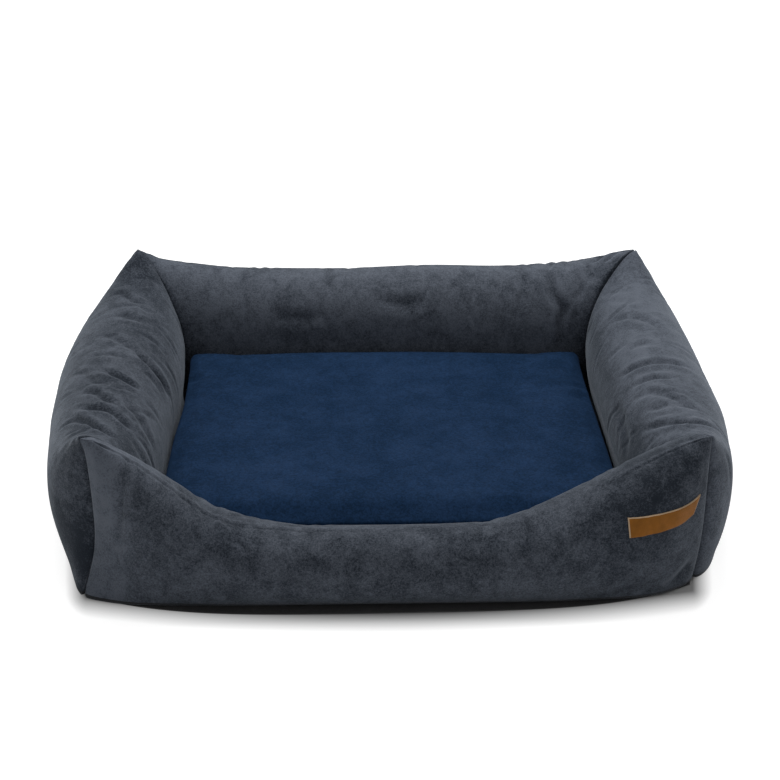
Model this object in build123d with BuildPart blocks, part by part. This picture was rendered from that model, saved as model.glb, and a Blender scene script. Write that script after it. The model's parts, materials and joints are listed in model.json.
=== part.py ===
from build123d import *
import os
from math import asin, cos, sin, sqrt

os.makedirs("parts", exist_ok=True)

# Whole bed, in millimetres. The origin is on the ground under the middle, and +Y is the back.
bed_length = 1000.0
bed_depth = 800.0
peak_height = 242.0
base_thickness = 2.0
base_margin = 3.0
floor_thickness = 6.0
floor_corner = 24.0
clearance = 0.3
overrun = 40.0

# How far each bolster swells to both sides of the line between its corner seams
side_out = 83.0
side_in = 97.0
back_out = 67.0
back_in = 83.0
front_out = 67.0
front_in = 46.0
cover_wall = 3.0

# How high each bolster is, and how high its sides are widest
side_ridge = 206.0
back_ridge = 208.0
scoop_ridge = 100.0
outer_belly_height = 113.0
inner_belly_height = 99.0
scoop_outer_belly_height = 48.0
scoop_inner_belly_height = 50.0
ridge_lean = 4.0
scoop_lean = -8.0

# The width that each bolster stands on, to both sides of the same line
side_foot_out = 37.0
side_foot_in = 52.0
back_foot_out = 30.0
back_foot_in = 42.0
front_foot_out = 44.0
front_foot_in = 36.0

# At a corner seam the cloth is tucked in at half height and drawn to a point at the top
corner_tuck = 12.0
corner_in = 64.0
corner_foot_out = 11.0
corner_foot_in = 36.0
corner_run = 220.0

# Mattress
mattress_gap = 0.5
mattress_thickness = 85.0
mattress_wall = 2.0
mattress_corner = 34.0
mattress_draw = 6.0
mattress_front_line = 130.0
mattress_front_recess = 16.0

# Zips
tape_width = 22.0
tape_thickness = 0.8
teeth_width = 5.0
teeth_height = 2.2
teeth_bevel = 0.7
stop_length = 4.0
slider_length = 11.0
slider_width = 9.0
slider_tail_width = 7.4
slider_wall = 1.0
slider_round = 0.5
pull_length = 14.0
pull_width = 5.2
pull_thickness = 1.2
pull_hole_radius = 1.0
bridge_width = 2.0
bridge_wall = 0.8
bridge_clearance = 0.5
bridge_lift = 0.2
pin_radius = 0.6
pin_clearance = 0.15
side_zip_length = 260.0
back_zip_length = 410.0
mattress_zip_length = 440.0
bolster_zip_height = 23.0
mattress_zip_height = 41.0
zip_land_depth = 1.2
zip_groove_depth = 6.0
zip_groove_end = 16.0

# Leather tag on the front, sewn into the right corner seam
tag_width = 31.0
tag_length = 92.0
tag_thickness = 1.8
tag_seam_gap = 23.0
tag_height = 105.0

# Worked out from the sizes above
seam_x = bed_length / 2 - side_out
seam_y = bed_depth / 2 - back_out
mattress_bottom = base_thickness + floor_thickness
up = Vector(0, 0, 1)

# Sections: ridge height and lean, outer swell and its height, inner swell and its height, feet
corner_section = (
    peak_height, 0, -corner_tuck, outer_belly_height,
    corner_in, inner_belly_height, corner_foot_out, corner_foot_in,
)
side_section = (
    side_ridge, ridge_lean, side_out, outer_belly_height,
    side_in, inner_belly_height, side_foot_out, side_foot_in,
)
back_section = (
    back_ridge, ridge_lean, back_out, outer_belly_height,
    back_in, inner_belly_height, back_foot_out, back_foot_in,
)
front_section = (
    scoop_ridge, scoop_lean, front_out, scoop_outer_belly_height,
    front_in, scoop_inner_belly_height, front_foot_out, front_foot_in,
)

# Along a plump bolster: the share of the corner run, then how far the ridge, the outer swell
# and the inner swell have gone there from the corner section to the middle one
plump_shares = (
    (-0.06, -0.16, -0.12, -0.02),
    (0, 0, 0, 0),
    (0.11, 0.33, 0.42, 0.06),
    (0.25, 0.58, 0.72, 0.18),
    (0.42, 0.76, 0.88, 0.38),
    (0.68, 0.93, 0.97, 0.82),
    (0.92, 1, 1, 1),
)
# Along the scooped bolster: the share of half its length, then the same three
scoop_shares = (
    (-0.032, -0.02, -0.12, -0.02),
    (0, 0, 0, 0),
    (0.06, 0.03, 0.42, -0.05),
    (0.13, 0.15, 0.74, -0.08),
    (0.215, 0.33, 0.9, 0.02),
    (0.31, 0.54, 0.96, 0.36),
    (0.41, 0.75, 1, 0.66),
    (0.515, 0.9, 1, 0.87),
    (0.635, 0.975, 1, 0.97),
)
# How much further the cloth's thickness draws in a sharp ridge, and the edges of the foot
peak_inset_share = 3.0
foot_inset_share = 1.5
# Up the side of the mattress: the share of its thickness, and how far it is drawn in there
mattress_profile_shares = (
    (0, 0.14),
    (0.09, 0.05),
    (0.26, 0.01),
    (0.44, 0),
    (0.64, 0.02),
    (0.8, 0.07),
    (0.93, 0.22),
    (0.985, 0.7),
    (1, 1.5),
)
# How fast the groove of the mattress zip opens towards its mouth
groove_slope_share = 0.75
# Tag outline, from the sewn end: shares of its length to the left, and of its width upwards
tag_upper_shares = ((0, 2.16), (0.38, 1.43), (0.92, 1.1))
tag_lower_shares = ((1.01, 0), (0.49, 0.16), (0.11, 1.1))


def mix(start, end, share):
    return start + (end - start) * share


def save(made, name):
    made.part.label = name
    export_step(made.part, f"parts/{name}.step")


def section_at(middle, rise, outer, inner):
    """The eight sizes of a section that has gone these shares of the way to the middle."""
    by_size = (rise, rise, outer, rise, inner, rise, outer, inner)
    return [mix(a, b, share) for a, b, share in zip(corner_section, middle, by_size)]


def stations(middle, half_run, table, table_run):
    """Places along a bolster, from one corner seam to the other, with the section at each."""
    one_way = [
        (share * table_run - half_run, section_at(middle, *shares), max(shares[0], 0))
        for share, *shares in table
    ]
    centre = (0, section_at(middle, 1, 1, 1), 1)
    other_way = [(-place, sizes, rise) for place, sizes, rise in reversed(one_way)]
    return one_way + [centre] + other_way


def bolster_loft(inward, seam, places, inset):
    """A bolster's form before its mitres, drawn in by inset on every side."""
    across = Plane(origin=inward * -seam, x_dir=inward, z_dir=inward.cross(up))
    floor = base_thickness + inset
    foot_draw = inset * foot_inset_share
    with BuildPart() as form:
        for place, sizes, rise in places:
            ridge, lean, out, out_height, inn, in_height, foot_out, foot_in = sizes
            with BuildSketch(across.offset(place)):
                with BuildLine():
                    top = (lean, ridge - inset * mix(peak_inset_share, 1, rise))
                    outer_belly = (inset - out, out_height)
                    inner_belly = (inn - inset, in_height)
                    outer_foot = (foot_draw - foot_out, floor)
                    inner_foot = (foot_in - foot_draw, floor)
                    TangentArc(outer_belly, outer_foot, tangent=(0, -1))
                    TangentArc(outer_belly, top, tangent=(0, 1))
                    TangentArc(inner_belly, top, tangent=(0, 1))
                    TangentArc(inner_belly, inner_foot, tangent=(0, -1))
                    Line(outer_foot, inner_foot)
                make_face()
        loft(ruled=True)
    return form.part


def bolster(inward, seam, half_run, places, inset):
    """A bolster's form, cut at both ends on the diagonals through its corner seams."""
    along = inward.cross(up)
    form = bolster_loft(inward, seam, places, inset)
    with BuildPart() as cut:
        add(form)
        for end in (along, along * -1):
            facing = (end * -1 - inward).normalized()
            corner = inward * -seam + end * half_run
            split(bisect_by=Plane(origin=corner + facing * inset, z_dir=facing))
    return cut.part


def inner_face(section, height):
    """The reach and the downward tilt of a section's inner face, below its widest height."""
    inn, in_height, foot_in = section[4], section[5], section[7]
    drop = in_height - base_thickness
    radius = ((inn - foot_in) ** 2 + drop**2) / (inn - foot_in) / 2
    below = in_height - height
    return inn - radius + sqrt(radius**2 - below**2), asin(below / radius)


def zip_place(inward, seam, section):
    """The plane of a zip's land, low on a bolster's inner face."""
    reach, tilt = inner_face(section, bolster_zip_height)
    facing = inward * cos(tilt) - up * sin(tilt)
    face = inward * (reach - seam) + up * bolster_zip_height
    return Plane(
        origin=face - facing * zip_land_depth, x_dir=inward.cross(up), z_dir=facing
    )


# Base: a non-slip panel under the whole bed
base_x = seam_x + corner_foot_out - base_margin
base_y = seam_y + corner_foot_out - base_margin
side_bow = seam_x + side_foot_out - base_margin
back_bow = seam_y + back_foot_out - base_margin
front_bow = seam_y + front_foot_out - base_margin
with BuildPart() as base_bottom:
    with BuildSketch():
        with BuildLine():
            ThreePointArc((base_x, -base_y), (side_bow, 0), (base_x, base_y))
            ThreePointArc((base_x, base_y), (0, back_bow), (-base_x, base_y))
            ThreePointArc((-base_x, base_y), (-side_bow, 0), (-base_x, -base_y))
            ThreePointArc((-base_x, -base_y), (0, -front_bow), (base_x, -base_y))
        make_face()
    extrude(amount=base_thickness)
save(base_bottom, "base_bottom")

# Lined floor inside the ring of bolsters, under the mattress
floor_x = seam_x - inner_face(side_section, mattress_bottom)[0] - clearance
floor_back = seam_y - inner_face(back_section, mattress_bottom)[0] - clearance
front_reach = max(
    inner_face(front_section, mattress_bottom)[0],
    inner_face(corner_section, mattress_bottom)[0],
)
floor_front = seam_y - front_reach - base_margin
with BuildPart() as base_floor:
    with BuildSketch(Plane.XY.offset(base_thickness)):
        with Locations((0, (floor_back - floor_front) / 2)):
            RectangleRounded(floor_x * 2, floor_back + floor_front, floor_corner)
    extrude(amount=floor_thickness)
save(base_floor, "base_floor")

# Bolsters: direction towards the middle, seam line, half length, middle section, stations
bolsters = {
    "left": (Vector(1, 0, 0), seam_x, seam_y, side_section, plump_shares, corner_run),
    "right": (Vector(-1, 0, 0), seam_x, seam_y, side_section, plump_shares, corner_run),
    "back": (Vector(0, -1, 0), seam_y, seam_x, back_section, plump_shares, corner_run),
    "front": (Vector(0, 1, 0), seam_y, seam_x, front_section, scoop_shares, seam_x),
}
zip_lengths = {"left": side_zip_length, "right": side_zip_length, "back": back_zip_length}
zips = {}

for side, (inward, seam, half_run, section, table, table_run) in bolsters.items():
    places = stations(section, half_run, table, table_run)
    outside = bolster(inward, seam, half_run, places, 0)
    cavity = bolster(inward, seam, half_run, places, cover_wall)
    filling = bolster(inward, seam, half_run, places, cover_wall + clearance * 2)
    with BuildPart() as cover:
        add(outside)
        add(cavity, mode=Mode.SUBTRACT)
        if side in zip_lengths:
            zips[side] = (zip_place(inward, seam, section), zip_lengths[side])
            with BuildSketch(zips[side][0]):
                Rectangle(zip_lengths[side] + clearance, tape_width + clearance)
            extrude(amount=overrun, mode=Mode.SUBTRACT)
    save(cover, f"{side}_bolster_cover")
    with BuildPart() as fill:
        add(filling)
    save(fill, f"{side}_bolster_fill")


# Leather tag: a slice that follows the front bolster's outer face, just clear of it
front_places = stations(front_section, seam_x, scoop_shares, seam_x)
front_inward = Vector(0, 1, 0)
tag_back = bolster_loft(front_inward, seam_y, front_places, -clearance)
tag_face = bolster_loft(front_inward, seam_y, front_places, -clearance - tag_thickness)


def tag_point(along_share, up_share):
    sewn_end = seam_x - tag_seam_gap
    return (sewn_end - tag_length * along_share, tag_height + tag_width * up_share)


with BuildPart() as leather_tag:
    with BuildSketch(Plane.XZ.offset(seam_y)):
        with BuildLine():
            upper = ThreePointArc(*[tag_point(*shares) for shares in tag_upper_shares])
            lower = ThreePointArc(*[tag_point(*shares) for shares in tag_lower_shares])
            Line(upper @ 1, lower @ 0)
            Line(lower @ 1, upper @ 0)
        make_face()
    extrude(amount=front_out + overrun)
    add(tag_face, mode=Mode.INTERSECT)
    add(tag_back, mode=Mode.SUBTRACT)
save(leather_tag, "leather_tag")


# Mattress: a crowned cushion with drawn-in sides and a groove for its zip along the back
def mattress_form(inset):
    bottom = mattress_bottom + inset
    top = mattress_bottom + mattress_thickness - inset
    with BuildPart() as form:
        for height_share, draw_share in mattress_profile_shares:
            drawn = inset + mattress_thickness * draw_share
            side = seam_x - side_in - mattress_gap - drawn
            back = seam_y - back_in - mattress_gap - drawn
            front = drawn + mattress_gap + front_in - seam_y
            turn_x = side - mattress_corner
            turn_back = back - mattress_corner
            turn_front = front + mattress_front_recess
            front_line = mattress_front_line - drawn / 2
            with BuildSketch(Plane.XY.offset(mix(bottom, top, height_share))):
                with BuildLine():
                    Line((-front_line, front), (front_line, front))
                    for hand in (1, -1):
                        turned = (hand * turn_x, turn_front)
                        low = (hand * side, turn_front + mattress_corner)
                        middle = (hand * (side - mattress_draw), (low[1] + turn_back) / 2)
                        high = (hand * side, turn_back)
                        bend = TangentArc((hand * front_line, front), turned, tangent=(hand, 0))
                        TangentArc(turned, low, tangent=bend % 1)
                        ThreePointArc(low, middle, high)
                        TangentArc(high, (hand * turn_x, back), tangent=(0, 1))
                    ThreePointArc((turn_x, back), (0, back - mattress_draw), (-turn_x, back))
                make_face()
        loft(ruled=True)
    return form.part


mattress_zip_y = seam_y - back_in - mattress_gap - mattress_draw - zip_groove_depth


def zip_groove(grow):
    """The trough that the mattress zip lies in, made larger by grow for the layers inside."""
    deep = mattress_zip_y - grow
    narrow = tape_width / 2 + clearance + grow
    wide = narrow + overrun * groove_slope_share
    with BuildPart() as trough:
        with BuildSketch(Plane.YZ):
            with BuildLine():
                centre = mattress_zip_height
                mouth = deep + overrun
                Polyline(
                    (deep, centre - narrow), (mouth, centre - wide),
                    (mouth, centre + wide), (deep, centre + narrow), close=True,
                )
            make_face()
        extrude(amount=mattress_zip_length / 2 + zip_groove_end + grow, both=True)
    return trough.part


mattress_outside = mattress_form(0)
mattress_inside = mattress_form(mattress_wall)
core_form = mattress_form(mattress_wall + clearance)
open_groove = zip_groove(0)
lined_groove = zip_groove(mattress_wall)
core_groove = zip_groove(mattress_wall + clearance)
with BuildPart() as mattress_cavity:
    add(mattress_inside)
    add(lined_groove, mode=Mode.SUBTRACT)
with BuildPart() as mattress_cover:
    add(mattress_outside)
    add(open_groove, mode=Mode.SUBTRACT)
    add(mattress_cavity.part, mode=Mode.SUBTRACT)
save(mattress_cover, "mattress_cover")
with BuildPart() as mattress_core:
    add(core_form)
    add(core_groove, mode=Mode.SUBTRACT)
save(mattress_core, "mattress_core")
mattress_zip_place = Plane(
    origin=(0, mattress_zip_y, mattress_zip_height), x_dir=(-1, 0, 0), z_dir=(0, 1, 0)
)
zips["mattress"] = (mattress_zip_place, mattress_zip_length)

# Zips: heights over the land that a zip's tape lies on
teeth_crest = tape_thickness + teeth_height
slider_foot = tape_thickness + clearance
slider_roof = teeth_crest + clearance
slider_top = slider_roof + slider_wall
axis_height = slider_top + pin_radius + pin_clearance + bridge_lift
# Zips: the loop on the slider and the eye of the pull that goes round it
bridge_radius = pin_radius + pin_clearance + bridge_wall
eye_width = bridge_width + bridge_clearance * 2
eye_length = bridge_radius + bridge_clearance
zip_joints = {}

for name, (place, length) in zips.items():
    teeth_length = length - stop_length * 2
    slider_place = teeth_length / 2 - slider_length / 2 - clearance
    slider_travel = teeth_length - slider_length - clearance * 2
    across = Plane(origin=place.origin, x_dir=place.y_dir, z_dir=place.x_dir)
    lengthwise = Plane(origin=place.origin, x_dir=place.x_dir, z_dir=place.y_dir * -1)

    with BuildPart() as tape:
        with BuildSketch(place):
            Rectangle(length, tape_width)
        extrude(amount=tape_thickness)
    save(tape, f"{name}_zip_tape")

    with BuildPart() as teeth:
        with BuildSketch(across):
            with BuildLine():
                edge = teeth_width / 2
                shoulder = teeth_crest - teeth_bevel
                Polyline(
                    (-edge, tape_thickness), (edge, tape_thickness), (edge, shoulder),
                    (edge - teeth_bevel, teeth_crest), (teeth_bevel, teeth_crest),
                    (0, shoulder), (-teeth_bevel, teeth_crest),
                    (teeth_bevel - edge, teeth_crest), (-edge, shoulder), close=True,
                )
            make_face()
        extrude(amount=teeth_length / 2, both=True)
    save(teeth, f"{name}_zip_teeth")

    with BuildPart() as stops:
        with BuildSketch(place.offset(tape_thickness)):
            stop_place = length / 2 - stop_length / 2
            with Locations((stop_place, 0), (-stop_place, 0)):
                Rectangle(stop_length, teeth_width)
        extrude(amount=teeth_height)
    save(stops, f"{name}_zip_stops")

    with BuildPart() as slider:
        with BuildSketch(place.offset(slider_foot)):
            with BuildLine():
                front_end = slider_place + slider_length / 2
                tail_end = slider_place - slider_length / 2
                broad = slider_width / 2
                tail = slider_tail_width / 2
                Polyline(
                    (front_end, broad), (tail_end, tail), (tail_end, -tail),
                    (front_end, -broad), close=True,
                )
            make_face()
        extrude(amount=slider_top - slider_foot)
        fillet(slider.edges(), radius=slider_round)
        with BuildSketch(place):
            with Locations((slider_place, 0)):
                Rectangle(slider_length + overrun, teeth_width + clearance * 2)
        extrude(amount=slider_roof, mode=Mode.SUBTRACT)
        with BuildSketch(lengthwise):
            with Locations((slider_place, axis_height)):
                Circle(bridge_radius)
                Circle(pin_radius + pin_clearance, mode=Mode.SUBTRACT)
        extrude(amount=bridge_width / 2, both=True)
    save(slider, f"{name}_zip_slider")

    with BuildPart() as pull:
        with BuildSketch(place.offset(axis_height - pull_thickness / 2)):
            with Locations((slider_place, 0)):
                end_place = pull_width / 2 - pull_length
                with Locations((end_place / 2, 0)):
                    Rectangle(-end_place, pull_width)
                with Locations((end_place, 0)):
                    Circle(pull_width / 2)
                    Circle(pull_hole_radius, mode=Mode.SUBTRACT)
                with Locations((-eye_length / 2, 0)):
                    Rectangle(eye_length, eye_width, mode=Mode.SUBTRACT)
        extrude(amount=pull_thickness)
        with BuildSketch(lengthwise):
            with Locations((slider_place, axis_height)):
                Circle(pin_radius)
        extrude(amount=pull_width / 2, both=True)
    save(pull, f"{name}_zip_pull")

    pivot = place.from_local_coords(Vector(slider_place, 0, axis_height))
    zip_joints[name] = (place.x_dir, place.y_dir, pivot, slider_travel)

for name, (along, axis, pivot, travel) in zip_joints.items():
    print(f"{name} zip: slides {travel} mm against {along}, its pull turns about {axis} at {pivot}")
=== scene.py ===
"""Dog sofa bed: plump mitred velvet bolsters, a loose navy mattress and a bare leather tag."""
import json
from math import pi, radians

import bmesh
import bpy
import numpy as np
from bpy.props import FloatProperty, FloatVectorProperty, PointerProperty
from mathutils import Matrix, Vector
from mathutils.bvhtree import BVHTree


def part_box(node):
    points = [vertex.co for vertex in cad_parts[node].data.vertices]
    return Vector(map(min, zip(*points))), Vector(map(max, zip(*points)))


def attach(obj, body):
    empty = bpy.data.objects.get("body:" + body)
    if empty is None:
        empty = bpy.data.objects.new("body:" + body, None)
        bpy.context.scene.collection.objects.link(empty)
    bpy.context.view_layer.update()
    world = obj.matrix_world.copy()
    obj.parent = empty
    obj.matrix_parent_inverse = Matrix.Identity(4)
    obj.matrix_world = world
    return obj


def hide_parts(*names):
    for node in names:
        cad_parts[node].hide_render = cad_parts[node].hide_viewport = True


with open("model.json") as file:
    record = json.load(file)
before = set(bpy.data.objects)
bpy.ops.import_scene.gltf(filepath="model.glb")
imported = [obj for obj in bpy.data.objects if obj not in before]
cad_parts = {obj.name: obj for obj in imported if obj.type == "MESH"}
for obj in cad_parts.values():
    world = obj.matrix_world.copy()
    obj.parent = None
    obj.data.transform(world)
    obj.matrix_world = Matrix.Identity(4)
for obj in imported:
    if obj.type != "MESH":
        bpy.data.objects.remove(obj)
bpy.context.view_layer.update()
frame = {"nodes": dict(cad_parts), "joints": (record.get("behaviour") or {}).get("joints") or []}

bl_info = {
    "name": "Dog sofa bed",
    "version": (1, 0, 0),
    "blender": (4, 5, 0),
    "location": "View3D > Sidebar > Dog bed",
    "description": "Dresses the bed's frame in velvet, leather, lining and zips",
    "category": "Object",
}

MM = 0.001

# Lines through the corner seams, in millimetres from the middle of the bed
SEAM_X = 417.0
SEAM_Y = 333.0


# Sizes and colours

def length(name, description, value, low=0.0, high=1.0):
    return FloatProperty(name=name, description=description, default=value, min=low, max=high,
                         unit="LENGTH", subtype="DISTANCE", precision=4)


def colour(name, description, value):
    return FloatVectorProperty(name=name, description=description, default=value, size=3,
                               min=0.0, max=1.0, subtype="COLOR")


class BedSizes(bpy.types.PropertyGroup):
    """Sizes that shape the soft pieces."""
    puff: FloatProperty(
        name="Bolster pressure", description="How hard the filling pushes the bolster covers out",
        default=3.0, min=0.0, max=20.0)
    slack: FloatProperty(
        name="Slack", description="How much spare cloth the wrinkled stretches have",
        default=0.07, min=0.0, max=0.2, subtype="FACTOR")
    swell_limit: length("Swell limit", "How far a point of a cover may move as it fills",
                        0.016, 0.0, 0.05)
    inset: length("Inset", "How much smaller a cover starts before it fills", 0.002, 0.0, 0.03)
    mattress_puff: FloatProperty(
        name="Mattress pressure", description="How hard the foam pushes the mattress cover out",
        default=2.0, min=0.0, max=20.0)
    tooth_pitch: length("Tooth pitch", "Distance from one zip tooth to the next", 0.0030,
                        0.001, 0.02)
    stitch_pitch: length("Stitch pitch", "Distance from one stitch to the next", 0.0036,
                         0.001, 0.02)
    dot_pitch: length("Grip dot pitch", "Distance between the dots under the base", 0.012,
                      0.005, 0.05)


class BedColours(bpy.types.PropertyGroup):
    """Colours of the cloths, the leather and the zips."""
    slate_low: colour("Slate, brushed down", "Darkest slate velvet", (0.010, 0.014, 0.021))
    slate_high: colour("Slate, brushed up", "Lightest slate velvet", (0.088, 0.101, 0.126))
    navy_low: colour("Navy, brushed down", "Darkest navy velvet", (0.0034, 0.0140, 0.0360))
    navy_high: colour("Navy, brushed up", "Lightest navy velvet", (0.0105, 0.0330, 0.0860))
    leather: colour("Leather", "Face of the tag", (0.28, 0.104, 0.010))
    leather_cut: colour("Leather edge", "Cut edge of the tag", (0.62, 0.44, 0.28))
    lining: colour("Lining", "Cloth of the floor", (0.018, 0.022, 0.030))
    base: colour("Base", "Non-slip panel", (0.010, 0.010, 0.011))
    tape: colour("Zip tape", "Woven tape of the zips", (0.014, 0.019, 0.028))
    teeth: colour("Zip teeth", "Moulded teeth of the zips", (0.030, 0.036, 0.046))
    metal: colour("Zip metal", "Lacquered sliders and pulls", (0.045, 0.046, 0.050))


# Small helpers

def through(points):
    """A smooth line through points, which never swings past them."""
    xs, ys = np.array(points, float).T
    steps = np.diff(xs)
    rates = np.diff(ys) / steps
    slopes = np.empty_like(xs)
    slopes[0], slopes[-1] = rates[0], rates[-1]
    product = rates[:-1] * rates[1:]
    total = np.where(product > 0, rates[:-1] + rates[1:], 1.0)
    slopes[1:-1] = np.where(product > 0, 2 * product / total, 0.0)

    def line(value):
        value = np.clip(value, xs[0], xs[-1])
        i = np.clip(np.searchsorted(xs, value) - 1, 0, len(steps) - 1)
        t = (value - xs[i]) / steps[i]
        return (ys[i] * (1 + 2 * t) * (1 - t) ** 2 + slopes[i] * steps[i] * t * (1 - t) ** 2
                + ys[i + 1] * t * t * (3 - 2 * t) + slopes[i + 1] * steps[i] * t * t * (t - 1))
    return line


def mix(a, b, share):
    return a + (b - a) * share


def smoothstep(low, high, value):
    t = np.clip((value - low) / (high - low), 0.0, 1.0)
    return t * t * (3 - 2 * t)


def shown(name, mesh):
    """An object put into the scene."""
    made = bpy.data.objects.new(name, mesh)
    bpy.context.scene.collection.objects.link(made)
    return made


def mesh_object(name, points, faces, uvs=None):
    """A mesh object from points in millimetres, with its faces turned outwards."""
    mesh = bpy.data.meshes.new(name)
    mesh.from_pydata([tuple(p) for p in np.asarray(points) * MM], [],
                     [tuple(int(i) for i in face) for face in faces])
    if uvs is not None:
        layer = mesh.uv_layers.new(name="cloth")
        corners = np.empty(len(mesh.loops), int)
        mesh.loops.foreach_get("vertex_index", corners)
        layer.data.foreach_set("uv", (np.asarray(uvs)[corners] * MM).ravel())
    work = bmesh.new()
    work.from_mesh(mesh)
    bmesh.ops.recalc_face_normals(work, faces=work.faces)
    if work.calc_volume(signed=True) < 0:
        bmesh.ops.reverse_faces(work, faces=work.faces)
    work.to_mesh(mesh)
    work.free()
    mesh.shade_smooth()
    return shown(name, mesh)


def grid_quads(number):
    """Faces between the rows and columns of numbered points."""
    corners = (number[:-1, :-1], number[1:, :-1], number[1:, 1:], number[:-1, 1:])
    return np.stack(corners, axis=-1).reshape(-1, 4).tolist()


def grid_rim(number):
    """The numbers round the outside of a grid."""
    return np.concatenate([number[:-1, 0], number[-1, :-1], number[:0:-1, -1], number[0, :0:-1]])


def tube_quads(rows, columns):
    """Faces between rows of points, each of which closes on itself."""
    number = np.arange(rows * columns).reshape(rows, columns)
    after = np.roll(number, -1, axis=1)
    corners = (number[:-1], after[:-1], after[1:], number[1:])
    return np.stack(corners, axis=-1).reshape(-1, 4).tolist()


def coordinates(mesh, what="co"):
    flat = np.empty(len(mesh.vertices) * 3)
    mesh.vertices.foreach_get(what, flat)
    return flat.reshape(-1, 3)


def point_normals(mesh):
    return coordinates(mesh, "normal")


def set_coordinates(mesh, points):
    mesh.vertices.foreach_set("co", np.asarray(points).ravel())
    mesh.update()


def baked(piece):
    """Turn what a piece's modifiers make into its plain mesh."""
    graph = bpy.context.evaluated_depsgraph_get()
    made = bpy.data.meshes.new_from_object(
        piece.evaluated_get(graph), preserve_all_data_layers=True, depsgraph=graph)
    piece.modifiers.clear()
    piece.data = made
    piece.vertex_groups.clear()


def subdivide(piece):
    finer = piece.modifiers.new("finer", "SUBSURF")
    finer.levels = finer.render_levels = 1
    baked(piece)


# How the covers' cloth behaves while they fill
CLOTH = {"quality": 6, "mass": 0.35, "air_damping": 2.0, "tension_stiffness": 18,
         "compression_stiffness": 18, "shear_stiffness": 6, "use_pressure": True}
FILLING_FRAMES = 20


def swell(piece, held, cut, pressure, limit, bending=0.5):
    """Fill a soft cover by cloth simulation and cap how far each point has moved.

    The cloth's own lengths are taken from the points in cut, so spare cloth wrinkles."""
    start = coordinates(piece.data)
    holding = piece.vertex_groups.new(name="held")
    for index in np.nonzero(held > 0)[0]:
        holding.add([int(index)], float(held[index]), "REPLACE")
    piece.shape_key_add(name="sewn")
    pattern = piece.shape_key_add(name="cut")
    pattern.data.foreach_set("co", np.asarray(cut).ravel())
    pattern.value = 0.0
    cloth = piece.modifiers.new("filling", "CLOTH")
    how = cloth.settings
    for key, value in CLOTH.items():
        setattr(how, key, value)
    how.bending_stiffness = bending
    how.vertex_group_mass = holding.name
    how.rest_shape_key = pattern
    how.uniform_pressure_force = pressure
    how.effector_weights.gravity = 0
    cloth.collision_settings.use_collision = False
    cloth.point_cache.frame_start = 1
    cloth.point_cache.frame_end = FILLING_FRAMES
    scene = bpy.context.scene
    for number in range(1, FILLING_FRAMES + 1):
        scene.frame_set(number)
    graph = bpy.context.evaluated_depsgraph_get()
    filled = coordinates(piece.evaluated_get(graph).data)
    piece.modifiers.clear()
    piece.shape_key_clear()
    piece.vertex_groups.clear()
    scene.frame_set(1)
    moved = filled - start
    far = np.linalg.norm(moved, axis=1, keepdims=True)
    moved *= np.minimum(1.0, limit / np.maximum(far, 1e-9))
    set_coordinates(piece.data, start + moved)


def store_tone_and_painted_light(piece, values):
    """Keep, at each point, how light or dark the velvet is painted: partly the pile's own tone,
    partly painted light and shade.
    """
    brush = piece.data.attributes.new("brush", "FLOAT", "POINT")
    brush.data.foreach_set("value", values)


def paint(piece, *names):
    kept = finishes()
    piece.data.materials.clear()
    for name in names:
        piece.data.materials.append(kept[name])


# Node helpers

NUMBER, VECTOR, COLOUR = "NodeSocketFloat", "NodeSocketVector", "NodeSocketColor"


class Wire:
    """A value that runs between nodes, reckoned with like a number."""

    def __init__(self, tree, socket):
        self.tree, self.socket = tree, socket

    def maths(self, operation, *others):
        return wire(self.tree, "ShaderNodeMath", self, *others, operation=operation)

    def __add__(self, other):
        return self.maths("ADD", other)

    def __sub__(self, other):
        return self.maths("SUBTRACT", other)

    def __mul__(self, other):
        return self.maths("MULTIPLY", other)

    def __truediv__(self, other):
        return self.maths("DIVIDE", other)

    def spread(self, low, high, new_low=0.0, new_high=1.0):
        """The value moved from one range to another and held inside it."""
        return wire(self.tree, "ShaderNodeMapRange", self, low, high, new_low, new_high)


def plug(tree, made, key, value):
    value = getattr(value, "socket", value)
    if isinstance(value, bpy.types.NodeSocket):
        tree.links.new(value, made.inputs[key])
    else:
        made.inputs[key].default_value = value


def plugs(tree, made, named):
    for key, value in named.items():
        plug(tree, made, key, value)


def add(tree, kind, *values, named=(), **settings):
    """A node with its settings, whose inputs are given in order or by name."""
    made = tree.nodes.new(kind)
    for key, value in settings.items():
        setattr(made, key, value)
    plugs(tree, made, {**dict(enumerate(values)), **dict(named)})
    return made


def wire(tree, kind, *values, named=(), out=0, **settings):
    """What comes out of such a node."""
    return Wire(tree, add(tree, kind, *values, named=named, **settings).outputs[out])


def axis_of(tree, vector, axis):
    return wire(tree, "ShaderNodeSeparateXYZ", vector, out=axis)


def noise(tree, vector, scale, detail=3.0, roughness=0.5, wander=0.0):
    return wire(tree, "ShaderNodeTexNoise", vector, out="Fac", named={
        "Scale": scale, "Detail": detail, "Roughness": roughness, "Distortion": wander})


def blend(tree, share, a, b):
    return wire(tree, "ShaderNodeMix", out=2, data_type="RGBA", named={0: share, 6: a, 7: b})


def bump(tree, height, distance, strength=1.0):
    return wire(tree, "ShaderNodeBump", strength, distance, named={"Height": height})


def group(name, inputs, outputs, kind="ShaderNodeTree"):
    """An empty node group: the tree, its inputs by name and its output end."""
    tree = bpy.data.node_groups.new(name, kind)
    for way, sockets in (("INPUT", inputs), ("OUTPUT", outputs)):
        for label, (socket_kind, *value) in sockets.items():
            socket = tree.interface.new_socket(label, in_out=way, socket_type=socket_kind)
            if value:
                socket.default_value = value[0]
    given = tree.nodes.new("NodeGroupInput")
    return tree, named_wires(tree, given), tree.nodes.new("NodeGroupOutput")


def named_wires(tree, made):
    return {socket.name: Wire(tree, socket) for socket in made.outputs if socket.name}


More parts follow.
